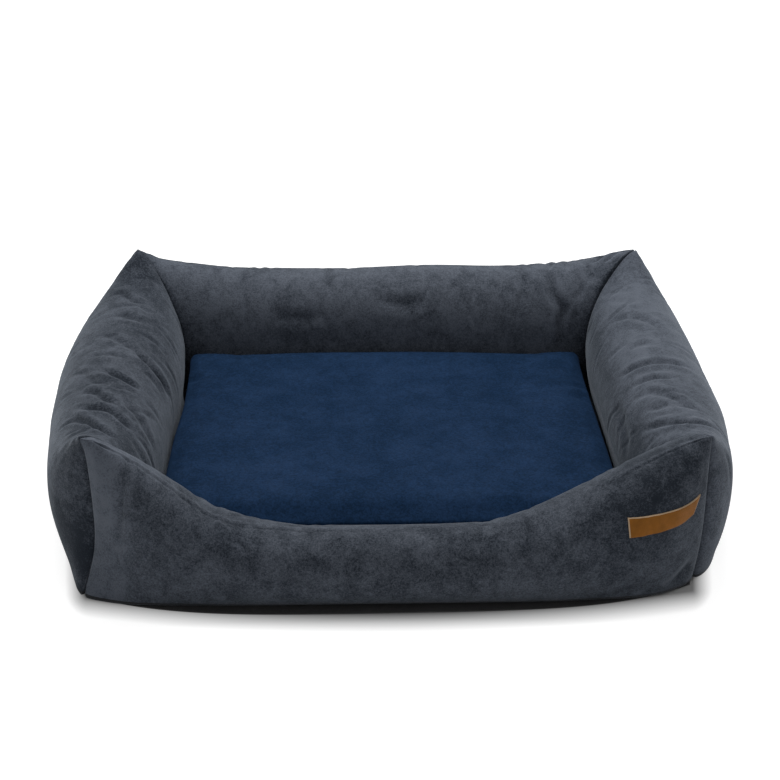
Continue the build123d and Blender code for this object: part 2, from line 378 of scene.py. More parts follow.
def use_group(tree, kept, **values):
    made = add(tree, "ShaderNodeGroup", node_tree=kept)
    plugs(tree, made, {k.replace("_", " ").capitalize(): v for k, v in values.items()})
    return named_wires(tree, made)


def material(name):
    made = bpy.data.materials.new(name)
    made.use_nodes = True
    tree = made.node_tree
    tree.nodes.clear()
    shader = tree.nodes.new("ShaderNodeBsdfPrincipled")
    ending = tree.nodes.new("ShaderNodeOutputMaterial")
    tree.links.new(shader.outputs[0], ending.inputs[0])
    return made, tree, shader


def rgba(value):
    return (*value, 1.0)


def darker(value, share):
    return tuple(v * share for v in value)


# Finishes

def crushed_nap_group():
    """Short pile brushed this way and that: patches, streaks, weave and fibre, moved lighter or
    darker by a stored tone that is partly painted light and shade.
    """
    tree, given, wanted = group("crushed nap", {
        "Place": (VECTOR,), "Cloth": (VECTOR,), "Low": (COLOUR,), "High": (COLOUR,),
        "Patch scale": (NUMBER, 14.0), "Patch depth": (NUMBER, 1.0),
        "Weave scale": (NUMBER, 560.0), "Weave depth": (NUMBER, 1.0),
        "Brush": (NUMBER, 0.0), "Grain": (NUMBER, 0.8),
    }, {"Color": (COLOUR,), "Roughness": (NUMBER,), "Height": (NUMBER,)})
    place, cloth, size = given["Place"], given["Cloth"], given["Patch scale"]

    def cloud(finer, detail, roughness=0.5, wander=0.0):
        return noise(tree, place, size * finer, detail, roughness, wander)

    broad = noise(tree, place, size, 3.0, 0.5, 0.2)
    patches = broad * 0.42 + cloud(3.4, 5.0, 0.62, 0.35) * 0.58
    crisp = patches.spread(0.40, 0.60)
    fine = cloud(13.0, 3.0, 0.6, 0.3).spread(0.32, 0.68)
    specks = cloud(34.0, 2.0).spread(0.57, 0.68)
    tufts = cloud(27.0, 1.0).spread(0.34, 0.66, -0.5, 0.5)
    dust = cloud(54.0, 1.0).spread(0.36, 0.64, -0.5, 0.5)
    grain = tufts * 0.62 + dust * 0.55
    # Two sets of threads, crossing at right angles along the cloth
    sway = (noise(tree, place, 60.0, 2.0) - 0.5) * 0.004
    threads = [((axis_of(tree, cloth, axis) + sway) * given["Weave scale"] * (2 * pi)).maths("SINE")
               for axis in (0, 1)]
    slubs = [noise(tree, wire(tree, "ShaderNodeMapping", cloth, shift, (0, 0, 0), scale), 1.0, 2.0)
             for shift, scale in (((0, 0, 0), (90.0, 900.0, 1.0)),
                                  ((3, 7, 0), (900.0, 90.0, 1.0)))]
    cross = threads[0] * threads[1] * 0.22 + slubs[0].maths("MAXIMUM", slubs[1]).spread(0.5, 0.75)
    cross = cross * given["Weave depth"]
    lift = ((crisp * 0.66 + 0.08) * given["Patch depth"] + fine * 0.42 + grain * given["Grain"]
            + cross * 0.20 + specks * 0.22)
    # The stored tone, partly painted light and shade, lifts or lowers the pile's share here
    share = wire(tree, "ShaderNodeClamp", lift * 0.62 + given["Brush"])
    plugs(tree, wanted, {
        "Color": blend(tree, share, given["Low"], given["High"]),
        "Roughness": patches.spread(0.35, 0.65, 0.95, 0.78),
        "Height": crisp * 0.35 + fine * 0.35 + cross * 0.35 + grain * 0.30,
    })
    return tree


def fine_grain_group():
    """A fine irregular grain with a slow change of tone, for leather, rubber and lacquer."""
    tree, given, wanted = group("fine grain", {
        "Place": (VECTOR,), "Tone": (COLOUR,), "Shade": (COLOUR,), "Grain scale": (NUMBER, 900.0),
        "Grain depth": (NUMBER, 1.0), "Rough low": (NUMBER, 0.4), "Rough high": (NUMBER, 0.6),
    }, {"Color": (COLOUR,), "Roughness": (NUMBER,), "Height": (NUMBER,)})
    place, size = given["Place"], given["Grain scale"]
    cells = wire(tree, "ShaderNodeTexVoronoi", place, named={"Scale": size},
                 feature="DISTANCE_TO_EDGE")
    slow = noise(tree, place, size * 0.05, 4.0, 0.6)
    fine = noise(tree, place, size * 1.7, 3.0, 0.6)
    share = (slow * 0.75 + fine * 0.25).spread(0.32, 0.68)
    plugs(tree, wanted, {
        "Color": blend(tree, share, given["Shade"], given["Tone"]),
        "Roughness": slow.spread(0.3, 0.7, given["Rough high"], given["Rough low"]),
        "Height": (cells.spread(0.0, 0.12) + fine * 0.5) * given["Grain depth"],
    })
    return tree


def hem_group():
    """The black edge of the base cloth, where it is turned up at the foot of the bolsters."""
    tree, given, wanted = group("turned-up hem", {
        "Place": (VECTOR,), "Color": (COLOUR,), "Hem": (COLOUR,), "Height": (NUMBER, 0.009),
    }, {"Color": (COLOUR,)})
    place = given["Place"]
    line = given["Height"] + (noise(tree, place, 35.0, 2.0) - 0.5) * 0.003
    share = (axis_of(tree, place, 2) - line).spread(-0.0003, 0.0003)
    plug(tree, wanted, "Color", blend(tree, share, given["Hem"], given["Color"]))
    return tree


def velvet(name, low, high, nap, patch_scale, patch_depth, sheen, tint, weave_depth=1.0,
           on_uv=True, gloss=0.18, hem=None):
    _, tree, shader = material(name)
    place = wire(tree, "ShaderNodeTexCoord", out="Object")
    # The tone stored on the mesh: partly each piece's own, partly painted light and shade
    stored_tone_and_light = wire(tree, "ShaderNodeAttribute", out="Fac", attribute_name="brush")
    pile = use_group(tree, nap, brush=stored_tone_and_light, place=place,
                     cloth=wire(tree, "ShaderNodeUVMap", uv_map="cloth") if on_uv else place,
                     low=rgba(low), high=rgba(high), patch_scale=patch_scale,
                     patch_depth=patch_depth, weave_depth=weave_depth)
    face = pile["Color"]
    if hem:
        black = rgba(bpy.context.scene.bed_colours.base)
        face = use_group(tree, hem, place=place, color=face, hem=black)["Color"]
    plugs(tree, shader, {
        "Base Color": face, "Roughness": pile["Roughness"],
        "Normal": bump(tree, pile["Height"], 0.0006, 0.7), "Specular IOR Level": gloss,
        "Sheen Weight": sheen, "Sheen Roughness": 0.42, "Sheen Tint": rgba(tint),
    })


def grained(name, tone, shade, grain, scale, depth, rough, height, metallic=0.0, gloss=0.5):
    _, tree, shader = material(name)
    face = use_group(tree, grain, place=wire(tree, "ShaderNodeTexCoord", out="Object"),
                     tone=rgba(tone), shade=rgba(shade), grain_scale=scale, grain_depth=depth,
                     rough_low=rough[0], rough_high=rough[1])
    plugs(tree, shader, {
        "Base Color": face["Color"], "Roughness": face["Roughness"], "Metallic": metallic,
        "Normal": bump(tree, face["Height"], height), "Specular IOR Level": gloss,
    })


def finishes():
    """Every material of the bed, made once and kept by name."""
    kept = {m.name: m for m in bpy.data.materials}
    if "slate velvet" in kept:
        return kept
    tone = bpy.context.scene.bed_colours
    nap, grain = crushed_nap_group(), fine_grain_group()
    velvet("slate velvet", tone.slate_low, tone.slate_high, nap, 13.0, 1.0, 0.22,
           (0.62, 0.70, 0.80), hem=hem_group())
    velvet("navy velvet", tone.navy_low, tone.navy_high, nap, 8.0, 0.7, 0.03,
           (0.15, 0.35, 0.85), weave_depth=0.5, on_uv=False, gloss=0.07)
    for name, face, patch_scale, patch_depth, sheen in (
        ("floor lining", tone.lining, 9.0, 0.4, 0.05), ("zip tape", tone.tape, 30.0, 0.3, 0.04),
    ):
        velvet(name, darker(face, 0.6), face, nap, patch_scale, patch_depth, sheen,
               (0.5, 0.55, 0.6), on_uv=False)
    for name, face, shade, scale, depth, rough, height, more in (
        ("tan leather", tone.leather, 0.62, 1100.0, 0.6, (0.42, 0.60), 0.00012, {"gloss": 0.14}),
        ("cut leather edge", tone.leather_cut, 0.6, 1600.0, 1.0, (0.75, 0.9), 0.00015, {}),
        ("non-slip base", tone.base, 0.5, 700.0, 1.0, (0.55, 0.75), 0.0002, {}),
        ("zip teeth", tone.teeth, 0.5, 1500.0, 0.3, (0.25, 0.45), 0.00005, {}),
        ("zip metal", tone.metal, 0.45, 1300.0, 0.3, (0.28, 0.5), 0.00004, {"metallic": 0.85}),
    ):
        grained(name, face, darker(face, shade), grain, scale, depth, rough, height, **more)
    grained("sewing thread", darker(tone.slate_high, 0.7), tone.slate_low, grain, 2400.0, 1.0,
            (0.6, 0.8), 0.00006)
    return {m.name: m for m in bpy.data.materials}


# Bolsters

# Points round a section: bottom, inner lower, inner upper, outer upper, outer lower
ROUND = (10, 16, 26, 24, 18)
# Where round it the ridge comes
RIDGE = sum(ROUND[:3])
# Rows along a bolster: their spacing in millimetres, how much closer they stand at its ends, and
# the points round a section towards the ridge
ROW_STEP = 4.8
END_CROWDING = 0.05
RIDGE_CROWDING = 1.3
# What each bolster keeps to the diagonal at its corners, and how far its inner face may pass
# its line in INNER_LINE
SEAM_GAP = 0.25
INNER_GAP = 0.3
# Painted light on the folds: how much paler the pile is painted for each millimetre that a fold
# stands up, and darker for each that it sinks
FOLD_PAINTED_LIGHT = 0.045
# How high over the floor the inner face is held still while a cover fills
HELD_BAND = 4.0
# Over what heights and distances from a corner the smaller start of a cover sets in
FREE_HEIGHTS = (2, 30)
FREE_AWAY = (0, 30)

# From a corner seam along a plump bolster, in millimetres: shares of the full swell
RISE = through(((0, 0), (24, .33), (55, .58), (92, .76), (150, .93), (200, 1)))
OUTER = through(((0, 0), (6, .24), (18, .48), (42, .74), (80, .9), (140, .98), (200, 1)))
INNER = through(((0, 0), (10, .2), (28, .42), (62, .7), (110, .93), (150, 1)))
SCOOP_OUTER = through(((0, 0), (8, .22), (24, .46), (54, .76), (90, .9), (130, .96), (200, 1)))
SCOOP_FALL = through(((0, 0), (25, .03), (54, .15), (90, .33), (129, .54), (171, .75),
                      (215, .9), (265, .975), (330, 1)))

# Height of each bolster's ridge along the run, in millimetres
RIDGES = {
    "left": through(((-333, 242), (-322, 240), (-306, 232), (-278, 221), (-241, 214), (-183, 209),
                     (0, 207), (150, 209), (241, 216), (278, 226), (297, 237), (310, 244),
                     (321, 246.5), (333, 246))),
    "right": through(((-333, 231), (-322, 229), (-306, 225), (-278, 218), (-241, 213),
                      (-183, 209), (0, 207), (150, 207), (241, 212), (278, 220), (300, 230),
                      (316, 236.5), (325, 237.5), (333, 236.5))),
    "back": through(((-417, 243), (-408, 241), (-396, 236), (-381, 228.5), (-315, 217), (-249, 210),
                     (-97, 208), (71, 212), (189, 209), (290, 214), (357, 225), (384, 234),
                     (400, 237), (417, 237))),
    "front": through(((-417, 242), (-408, 241), (-396, 237), (-380, 229), (-362, 218),
                      (-337, 200), (-312, 179), (-280, 151), (-254, 130), (-201, 111),
                      (-121, 102), (1, 101), (107, 102), (170, 115), (216, 136), (269, 165),
                      (321, 195), (359, 215), (390, 227), (406, 231), (417, 231))),
}

# Sizes where a bolster is fullest: outer swell and height, inner swell and height, feet, lean,
# and how square its inner and outer shoulders are
FULL = {
    "left": (84, 113, 88, 103, 37, 52, 4, 2.3, .44, 2.3, .44),
    "right": (84, 113, 102, 103, 37, 52, 4, 2.3, .44, 2.3, .44),
    "back": (69, 113, 80, 103, 30, 42, 2, 2.2, .46, 2.2, .46),
    "front": (66, 50, 46, 50, 42, 34, -6, 2.0, .5, 2.7, .41),
}
# The same at the seam of each corner
SEAMS = {
    ("left", 1): (-7, 113, 77, 99, 11, 42, 0, 1.65, .55, 2.0, .5),
    ("right", 1): (-7, 113, 89, 103, 11, 44, 0, 2.2, .42, 2.0, .5),
    ("left", -1): (-4, 113, 74, 99, 16, 42, -5, 1.5, .56, 2.0, .5),
    ("right", -1): (-1, 118, 84, 101, -9, 42, 0, 1.9, .48, 2.0, .5),
}
# How much more the outer side swells along the run, in millimetres
BELLY = {
    "left": through(((-333, -7), (-220, -4), (-120, 4), (-78, 9), (0, 14), (60, 17), (140, 14),
                     (204, 9), (290, 2))),
    "right": through(((-333, -26), (-224, -24), (-103, -14), (32, -15), (180, -20), (260, -23),
                      (333, -20))),
    "back": through(((-417, 0), (417, 0.001))),
    "front": through(((-417, 0), (417, 0.001))),
}
# How far each bolster bulges inwards over the mattress's edge, along the run
INNER_LINE = {
    "left": through(((-333, 81), (-156, 81.5), (-63, 82), (71, 88), (200, 87), (333, 86))),
    "right": through(((-333, 96), (-150, 97), (0, 99), (150, 101.5), (333, 102))),
    "back": through(((-417, 88), (-249, 85), (-115, 79), (2, 79), (119, 84), (252, 92),
                     (417, 94))),
}
# Which corner each end of a run meets: its seam and whether the run starts or ends there
CORNERS = {
    "left": (("left", -1), ("left", 1)), "right": (("right", -1), ("right", 1)),
    "back": (("left", 1), ("right", 1)), "front": (("left", -1), ("right", -1)),
}
FLOOR = 2.2

# Each bolster's inward and lengthwise directions, its seam line and half its run
RUNS = {
    "left": (Vector((1, 0, 0)), Vector((0, 1, 0)), SEAM_X, SEAM_Y),
    "right": (Vector((-1, 0, 0)), Vector((0, 1, 0)), SEAM_X, SEAM_Y),
    "back": (Vector((0, -1, 0)), Vector((1, 0, 0)), SEAM_Y, SEAM_X),
    "front": (Vector((0, 1, 0)), Vector((1, 0, 0)), SEAM_Y, SEAM_X),
}


def arc(from_t, from_z, to_t, to_z, share):
    """Along the arc that leaves its start straight up or down and reaches its end."""
    across, rise = to_t - from_t, to_z - from_z
    turn = np.maximum(2 * np.arctan2(np.abs(across), np.abs(rise)), 1e-4)
    radius = np.abs(rise) / np.sin(turn)
    here = turn * share
    return (from_t + np.sign(across) * radius * (1 - np.cos(here)),
            from_z + np.sign(rise) * radius * np.sin(here))


def shoulder(from_t, from_z, to_t, to_z, share, bend, roundness):
    """Over a shoulder that leaves its start straight up and ends in the ridge."""
    up = np.sin(share * pi / 2)
    left = np.maximum(1 - up ** bend, 0) ** roundness
    return to_t + (from_t - to_t) * left, from_z + (to_z - from_z) * up


def section(sizes, ridge, part, share):
    """Points of a section, part by part round it, for arrays of sizes."""
    out, out_z, inn, in_z, foot_out, foot_in, lean, in_bend, in_round, bend, roundness = sizes
    flat = (mix(-foot_out, foot_in, share), FLOOR + 0 * share)
    inner_low = arc(inn, in_z, foot_in, FLOOR, 1 - share)
    inner_high = shoulder(inn, in_z, lean, ridge, share, in_bend, in_round)
    outer_high = shoulder(-out, out_z, lean, ridge, 1 - share, bend, roundness)
    outer_low = arc(-out, out_z, -foot_out, FLOOR, share)
    parts = (flat, inner_low, inner_high, outer_high, outer_low)
    return (np.choose(part, [p[0] for p in parts]), np.choose(part, [p[1] for p in parts]))


def spaced(half):
    """Steps along a bolster, and the parts and shares round its section, as one grid."""
    step = np.linspace(-1, 1, int(half * 2 / ROW_STEP) + 1)
    step = step + END_CROWDING * np.sin(pi * step)
    shares = [np.arange(n) / n for n in ROUND]
    # Closer together towards the ridge, where the sewn edge runs
    shares[2] = 1 - (1 - shares[2]) ** RIDGE_CROWDING
    shares[3] = shares[3] ** RIDGE_CROWDING
    part = np.repeat(np.arange(len(ROUND)), ROUND)
    return np.broadcast_arrays(step[:, None], part, np.concatenate(shares))


class Bolster:
    """A grid that runs along a bolster and round its section, cut on its corner diagonals."""

    def __init__(self, side):
        self.side = side
        self.inward, self.along, self.seam, self.half = RUNS[side]
        step, self.part, self.share = spaced(self.half)
        self.shape = step.shape
        first, last = CORNERS[side]
        # The two corners differ, so their sizes pass over into each other along the run
        pass_over = smoothstep(-0.5, 0.5, step)
        seam_sizes = [mix(float(a), float(b), pass_over)
                      for a, b in zip(SEAMS[first], SEAMS[last])]
        peak = RIDGES[side](np.where(step < 0, -self.half, self.half))
        reach = self.half - section(seam_sizes, peak, self.part, self.share)[0]
        self.run = step * reach
        away = reach - np.abs(self.run)
        full = [np.full(self.shape, float(v)) for v in FULL[side]]
        if side == "front":
            rise, outer, inner = SCOOP_FALL(away), SCOOP_OUTER(away), SCOOP_FALL(away)
        else:
            rise, outer, inner = RISE(away), OUTER(away), INNER(away)
        shares = (outer, rise, inner, rise, outer, inner, rise, rise, rise, rise, rise)
        sizes = [mix(a, b, c) for a, b, c in zip(seam_sizes, full, shares)]
        sizes[0] = sizes[0] + BELLY[side](self.run) * outer
        if side in INNER_LINE:
            sizes[2] = sizes[2] + (INNER_LINE[side](self.run) - FULL[side][2]) * inner
        self.away = away
        self.t, self.z = section(sizes, RIDGES[side](self.run), self.part, self.share)
        # Distance round the middle section, for the weave and the creases
        middle = self.shape[0] // 2
        loop_t, loop_z = self.t[middle], self.z[middle]
        hops = np.hypot(np.diff(loop_t, append=loop_t[0]), np.diff(loop_z, append=loop_z[0]))
        self.round = np.concatenate([[0], np.cumsum(hops)])
        self.from_ridge = np.broadcast_to(self.round[:-1] - self.round[RIDGE], self.shape)

    def points(self, run=None, t=None, z=None):
        run = self.run if run is None else run
        t = self.t if t is None else t
        z = self.z if z is None else z
        place = np.empty((*run.shape, 3))
        for axis in range(3):
            place[..., axis] = (self.inward[axis] * (t - self.seam) + self.along[axis] * run)
        place[..., 2] = z
        return place

    def split(self, place):
        """Run, inward distance from the seam line, and height of world points."""
        run = place @ np.array(self.along)
        t = place @ np.array(self.inward) + self.seam
        return run, t, place[..., 2]

    def faces(self):
        rows, columns = self.shape
        faces = tube_quads(rows, columns)
        for cap, row in ((rows * columns, 0), (rows * columns + 1, rows - 1)):
            faces += [(row * columns + c, row * columns + (c + 1) % columns, cap)
                      for c in range(columns)]
        return faces

    def with_caps(self, grid):
        flat = grid.reshape(-1, grid.shape[-1])
        return np.vstack([flat, grid[0].mean(axis=0), grid[-1].mean(axis=0)])

    def uvs(self):
        grid = np.stack([self.run, np.broadcast_to(self.round[:-1], self.shape)], axis=-1)
        return self.with_caps(grid)


def fill_cover(roll, piece, ends):
    """Blow a bolster's cover up from a smaller start, held at its ends and its foot."""
    sizes = bpy.context.scene.bed_sizes
    foot = (roll.part == 0) | ((roll.part == 1) & (roll.z < FLOOR + HELD_BAND))
    held = np.append(np.maximum(ends, foot).ravel(), [1, 1])
    free = smoothstep(*FREE_AWAY, roll.away) * smoothstep(*FREE_HEIGHTS, roll.z)
    free = np.append(free.ravel(), [0, 0])
    start = coordinates(piece.data)
    set_coordinates(piece.data, start - point_normals(piece.data) * (sizes.inset * free)[:, None])
    cut = cut_longer(roll, coordinates(piece.data)[:-2], slack_shares(roll) * sizes.slack)
    swell(piece, held, cut, sizes.puff, sizes.swell_limit)


def make_bolster(side):
    roll = Bolster(side)
    piece = mesh_object(f"{side}_bolster", roll.with_caps(roll.points()), roll.faces(), roll.uvs())
    ends = np.zeros(roll.shape)
    ends[0] = ends[-1] = 1
    fill_cover(roll, piece, ends)
    grid = coordinates(piece.data)[:-2].reshape(*roll.shape, 3) / MM
    # Creases, and the flat lands that the zips lie on
    normals = point_normals(piece.data)[:-2].reshape(*roll.shape, 3)
    folds = creases(roll)
    grid = grid + normals * folds[..., None]
    run, t, z = roll.split(grid)
    if side in INNER_LINE:
        t = np.where(roll.part < 3, soft_cap(t, INNER_LINE[side](run) + INNER_GAP), t)
    else:
        grid, folds = rolled_edge(roll, grid, normals, folds)
        run, t, z = roll.split(grid)
    grid = zip_land(side, roll, roll.points(run, t, z))
    # Nothing crosses the diagonal that the next bolster starts on, nor the floor
    run, t, z = roll.split(grid)
    limit = roll.half - t - SEAM_GAP
    run = np.sign(run) * np.minimum(np.abs(run), np.where(ends > 0, np.abs(run), limit))
    z = np.maximum(z, FLOOR)
    grid = roll.points(run, t, z)
    set_coordinates(piece.data, roll.with_caps(grid) * MM)
    # Painted light and shade stored for the velvet: each side's tone, paler fold ridges and darker
    # furrows
    tone = brushed(roll) + FOLD_PAINTED_LIGHT * folds
    store_tone_and_painted_light(piece, roll.with_caps(tone[..., None]).ravel())
    subdivide(piece)
    paint(piece, "slate velvet")
    return piece


def brushed(roll):
    """How much lighter or darker each side of a bolster is painted: a tone of each bolster's own,
    with painted light on its tops and caught edges and painted shade on faces turned from the light
    and in the corners.
    """
    upper = smoothstep(60, 150, roll.z)
    outside = (roll.t < 0) & (roll.part > 2)
    # Painted shade where two bolsters press together, widest low down in the corner
    low = 1 - smoothstep(110, 225, roll.z)
    painted_corner_shade = (roll.part < 3) * (1 - smoothstep(0, 14 + 46 * low, roll.away)) ** 1.3
    shade = -0.48 * painted_corner_shade
    if roll.side == "right":
        # Painted shade on the right bolster's inner face, below its top
        inside = (roll.part == 2) * (1 - smoothstep(150, 195, roll.z))
        # Its top painted lighter towards the back, its outer face a little darker low down, and its
        # corner shade
        return (0.20 + 0.18 * smoothstep(-330, 0, roll.run) * upper
                - 0.03 * outside * (1 - upper) - 0.68 * inside + 0.3 * shade)
    if roll.side == "left":
        # Painted shade low on the left bolster's outer face, fading towards the back; its top a
        # little paler
        ahead = 1 - smoothstep(0, 260, roll.run)
        return -0.15 + 0.03 * upper - 0.27 * outside * (1 - upper) * ahead + 0.3 * shade
    if roll.side == "front":
        # Painted highlight on the front's outer face by its left corner seam, and a paler left end
        edge = (1 - smoothstep(-384, -345, roll.run)) * (roll.t < 0)
        left = 1 - smoothstep(-380, -290, roll.run)
        # Painted shade high on the front towards its right corner
        right = np.exp(-((roll.run - 340) / 60) ** 2 - ((roll.z - 160) / 70) ** 2)
        return -0.02 + 0.12 * left + 0.32 * edge - 0.38 * right
    # Painted shade on the back's outer face and in its corners
    return 0.23 - 0.22 * outside + shade


def cut_longer(roll, place, slack):
    """The cover as its cloth is cut: longer along the run wherever it has slack."""
    run, t, z = roll.split(place.reshape(*roll.shape, 3) / MM)
    steps = np.diff(run, axis=0) * (1 + (slack[1:] + slack[:-1]) / 2)
    run = run[:1] + np.concatenate([np.zeros_like(run[:1]), np.cumsum(steps, axis=0)])
    run = run - run[len(run) // 2]
    return roll.with_caps(roll.points(run, t, z)) * MM


# The sewn edge: how far outside the ridge its roll and its furrow run, how wide and how high they
# are, and how much painted highlight the roll and painted shade the furrow get, counted as a fold's
# height
EDGE_ROLL = (3.0, 4.5, 0.8, 4.5)
EDGE_FURROW = (10.0, 2.0, -1.5, -4.0)


def rolled_edge(roll, grid, normals, folds):
    """The sewn edge along the scoop: a narrow raised roll with a painted highlight, and a sharp
    furrow outside it with painted shade.
    """
    across = roll.from_ridge * np.where(roll.part == 3, 1.0, 1.6)
    here = 1 - 0.75 * smoothstep(-120, 40, roll.run) * (1 - smoothstep(250, 330, roll.run))
    here = here * smoothstep(4, 16, roll.away)
    shift = tone = 0
    for middle, width, height, change in (EDGE_ROLL, EDGE_FURROW):
        hill = np.exp(-((across - middle) / width) ** 2)
        shift, tone = shift + height * hill, tone + change * hill
    return grid + normals * (here * shift)[..., None], folds + here * tone


def zip_land(side, roll, grid):
    """Bring the low inner face to the land that the zip's tape is sewn to."""
    if side not in ZIP_LENGTHS:
        return grid
    half = ZIP_LENGTHS[side] / 2
    land_t, land_z = arc(LAND_REACH[side], LAND_TOP, FULL[side][5], FLOOR, 1 - roll.share)
    on_face = (roll.part == 1).astype(float)
    along = 1 - smoothstep(half + LAND_FADE[0], half + LAND_FADE[1], np.abs(roll.run))
    off = np.abs(land_z - ZIP_HEIGHT)
    share = (on_face * along * (1 - smoothstep(*LAND_EDGES, off)))[..., None]
    high, longer, deep = TAPE_BED
    low = (off < high) & (np.abs(roll.run) < half + longer)
    sunk = roll.points(roll.run, land_t - deep * low, land_z)
    return mix(grid, sunk, share)


# The face that each bolster's zip is sewn to, and where the zip runs on it
LAND_REACH = {"left": 97.0, "right": 97.0, "back": 83.0}
LAND_TOP = 99.0
ZIP_HEIGHT = 23.0
ZIP_LENGTHS = {"left": 260.0, "right": 260.0, "back": 410.0}
# How far past the zip the land fades out, and half the height over which it does
LAND_FADE = (8, 40)
LAND_EDGES = (18, 42)
# The bed of the tape in it: half its height, how much longer it is, and how deep
TAPE_BED = (11.5, 1.5, 1.9)

# The small wrinkles: where each bolster's random draws start, and how many a metre has
WRINKLE_SEEDS = {"left": 3, "right": 8, "back": 21, "front": 34}
WRINKLES_PER_METRE = 70

# How much spare cloth each bolster has, and between which ends of its run
SLACK = {"left": (0.8, -300, 60), "right": (0.45, -300, 80), "back": (0.5, -330, 360)}
FRONT_SLACK = 0.35


def slack_shares(roll):
    if roll.side == "front":
        return FRONT_SLACK * smoothstep(20, 60, roll.z)
    share, low, high = SLACK[roll.side]
    here = smoothstep(low - 60, low + 20, roll.run)
    here = here * (1 - smoothstep(high - 20, high + 60, roll.run))
    return share * (here * smoothstep(40, 90, roll.z))


def crease(roll, line, depth, width, ridge=0.45):
    """A soft furrow along a line of (run, distance round) points, with a ridge beside it."""
    run, around = roll.run, roll.from_ridge
    points = np.array(line, float)
    best = np.full(roll.shape, 1e9)
    best_share = np.zeros(roll.shape)
    total = len(points) - 1
    for i in range(total):
        a, b = points[i], points[i + 1]
        d = b - a
        q = np.clip(((run - a[0]) * d[0] + (around - a[1]) * d[1]) / (d @ d), 0, 1)
        far = np.hypot(run - a[0] - q * d[0], around - a[1] - q * d[1])
        nearer = far < best
        best = np.where(nearer, far, best)
        best_share = np.where(nearer, (i + q) / total, best_share)
    taper = smoothstep(0, 0.3, best_share) * (1 - smoothstep(0.7, 1, best_share))
    furrow = np.exp(-(best / width) ** 1.4)
    shoulder = np.exp(-((best - 1.9 * width) / width) ** 2)
    return depth * taper * (ridge * shoulder - furrow)


# Creases of each bolster: points of (run, distance outwards from the ridge) in millimetres,
# depth and width
CREASE_LINES = {
    "left": (
        (((52, -3), (10, -39), (-3, -70), (-8, -93), (-22, -115)), 7.2, 6.0),
        (((-48, 17), (-72, -4), (-84, -28), (-90, -55)), 6.5, 5.1),
        (((80, 50), (58, 13), (31, -10), (12, -25)), 3.6, 6.0),
        (((-118, 50), (-131, 19), (-157, -4), (-166, -35)), 5.1, 6.0),
        (((-160, 55), (-184, 19), (-188, -17), (-206, -45), (-212, -70)), 6.5, 6.0),
        (((-176, 70), (-214, 31), (-248, -3), (-262, -28), (-266, -55)), 7.2, 6.0),
        (((-196, 85), (-206, 55), (-226, 29), (-244, 17)), 5.8, 5.1),
        (((-136, -15), (-156, -47), (-177, -81), (-186, -115)), 4.3, 6.8),
        (((232, 45), (222, 23), (193, -3), (186, -25)), 3.6, 6.8),
        (((-30, 65), (-50, 47), (-98, 19), (-110, -5)), 3.6, 6.0),
        (((150, 25), (130, -5), (128, -35)), 2.9, 7.6),
    ),
    "right": (
        (((-28, -91), (-34, -61), (-46, -20), (-54, 11), (-52, 34)), 5.8, 6.0),
        (((-84, -76), (-88, -49), (-98, -20), (-104, 4)), 5.8, 5.1),
        (((146, -71), (130, -32), (99, -8), (62, 9)), 3.6, 7.6),
        (((-196, -91), (-222, -65), (-238, -43), (-256, -11), (-262, 19), (-256, 49)), 6.5, 6.0),
        (((-48, -121), (-110, -107), (-170, -117), (-200, -133)), 4.3, 7.6),
        (((-112, -86), (-130, -49), (-156, -26), (-196, -5), (-214, 19)), 5.1, 6.8),
        (((-160, -76), (-180, -49), (-186, -26), (-202, -5)), 3.6, 6.0),
        (((30, -61), (24, -31), (8, -5)), 2.9, 6.8),
    ),
    "back": (
        (((262, -6), (268, -31), (272, -63), (288, -89), (286, -126), (292, -161)), 7.2, 6.8),
        (((228, -13), (227, -31), (225, -61), (232, -86)), 4.3, 6.0),
        (((310, -9), (313, -31), (318, -59), (314, -83)), 5.1, 6.0),
        (((334, -6), (332, -31), (336, -56)), 5.1, 5.1),
        (((-290, 9), (-286, -13), (-284, -35), (-290, -61)), 4.3, 6.8),
        (((-98, 11), (-98, -13), (-100, -39), (-96, -61)), 4.3, 6.8),
        (((-30, -69), (20, -81), (70, -73)), 2.9, 10.2),
        (((-200, -91), (-150, -103), (-100, -95)), 2.9, 10.2),
        (((352, -121), (340, -151), (344, -181)), 4.3, 6.8),
        (((130, -9), (134, -31), (130, -51)), 2.9, 6.8),
        (((400, -2), (388, -14), (374, -34)), 5.0, 4.5),
        (((388, 2), (374, -8), (354, -20)), 4.5, 4.5),
        (((402, -10), (396, -28), (388, -50)), 4.5, 4.5),
        (((366, 4), (352, -6), (336, -14)), 3.5, 4.5),
    ),
    "front": (
        (((-352, -4), (-355, 8), (-357, 32), (-365, 54), (-369, 71), (-373, 84), (-378, 100)),
         5.0, 5),
        (((-222, 40), (-213, 43), (-206, 50), (-200, 62)), 3.0, 4),
        (((-121, -2), (-120, 4), (-119, 24), (-117, 34)), 3.5, 4),
        (((104, -2), (106, 4), (106, 28), (110, 40)), 3.5, 4),
        (((170, -2), (172, 4), (171, 28), (176, 42)), 3.5, 4),
        (((340, 152), (362, 143), (381, 136), (394, 129), (414, 126)), 5.0, 6),
        (((372, 40), (384, 43), (404, 47)), 3.0, 5),
        (((325, 80), (332, 88), (337, 102), (348, 116)), 3.0, 6),
        (((-404, -2), (-398, 6), (-390, 10), (-380, 12)), 3.5, 4),
        (((-330, 70), (-300, 82), (-262, 88)), 2.0, 8),
        (((40, 60), (90, 70), (150, 66)), 2.0, 10),
        (((-180, 90), (-120, 100), (-60, 96)), 2.0, 10),
    ),
}


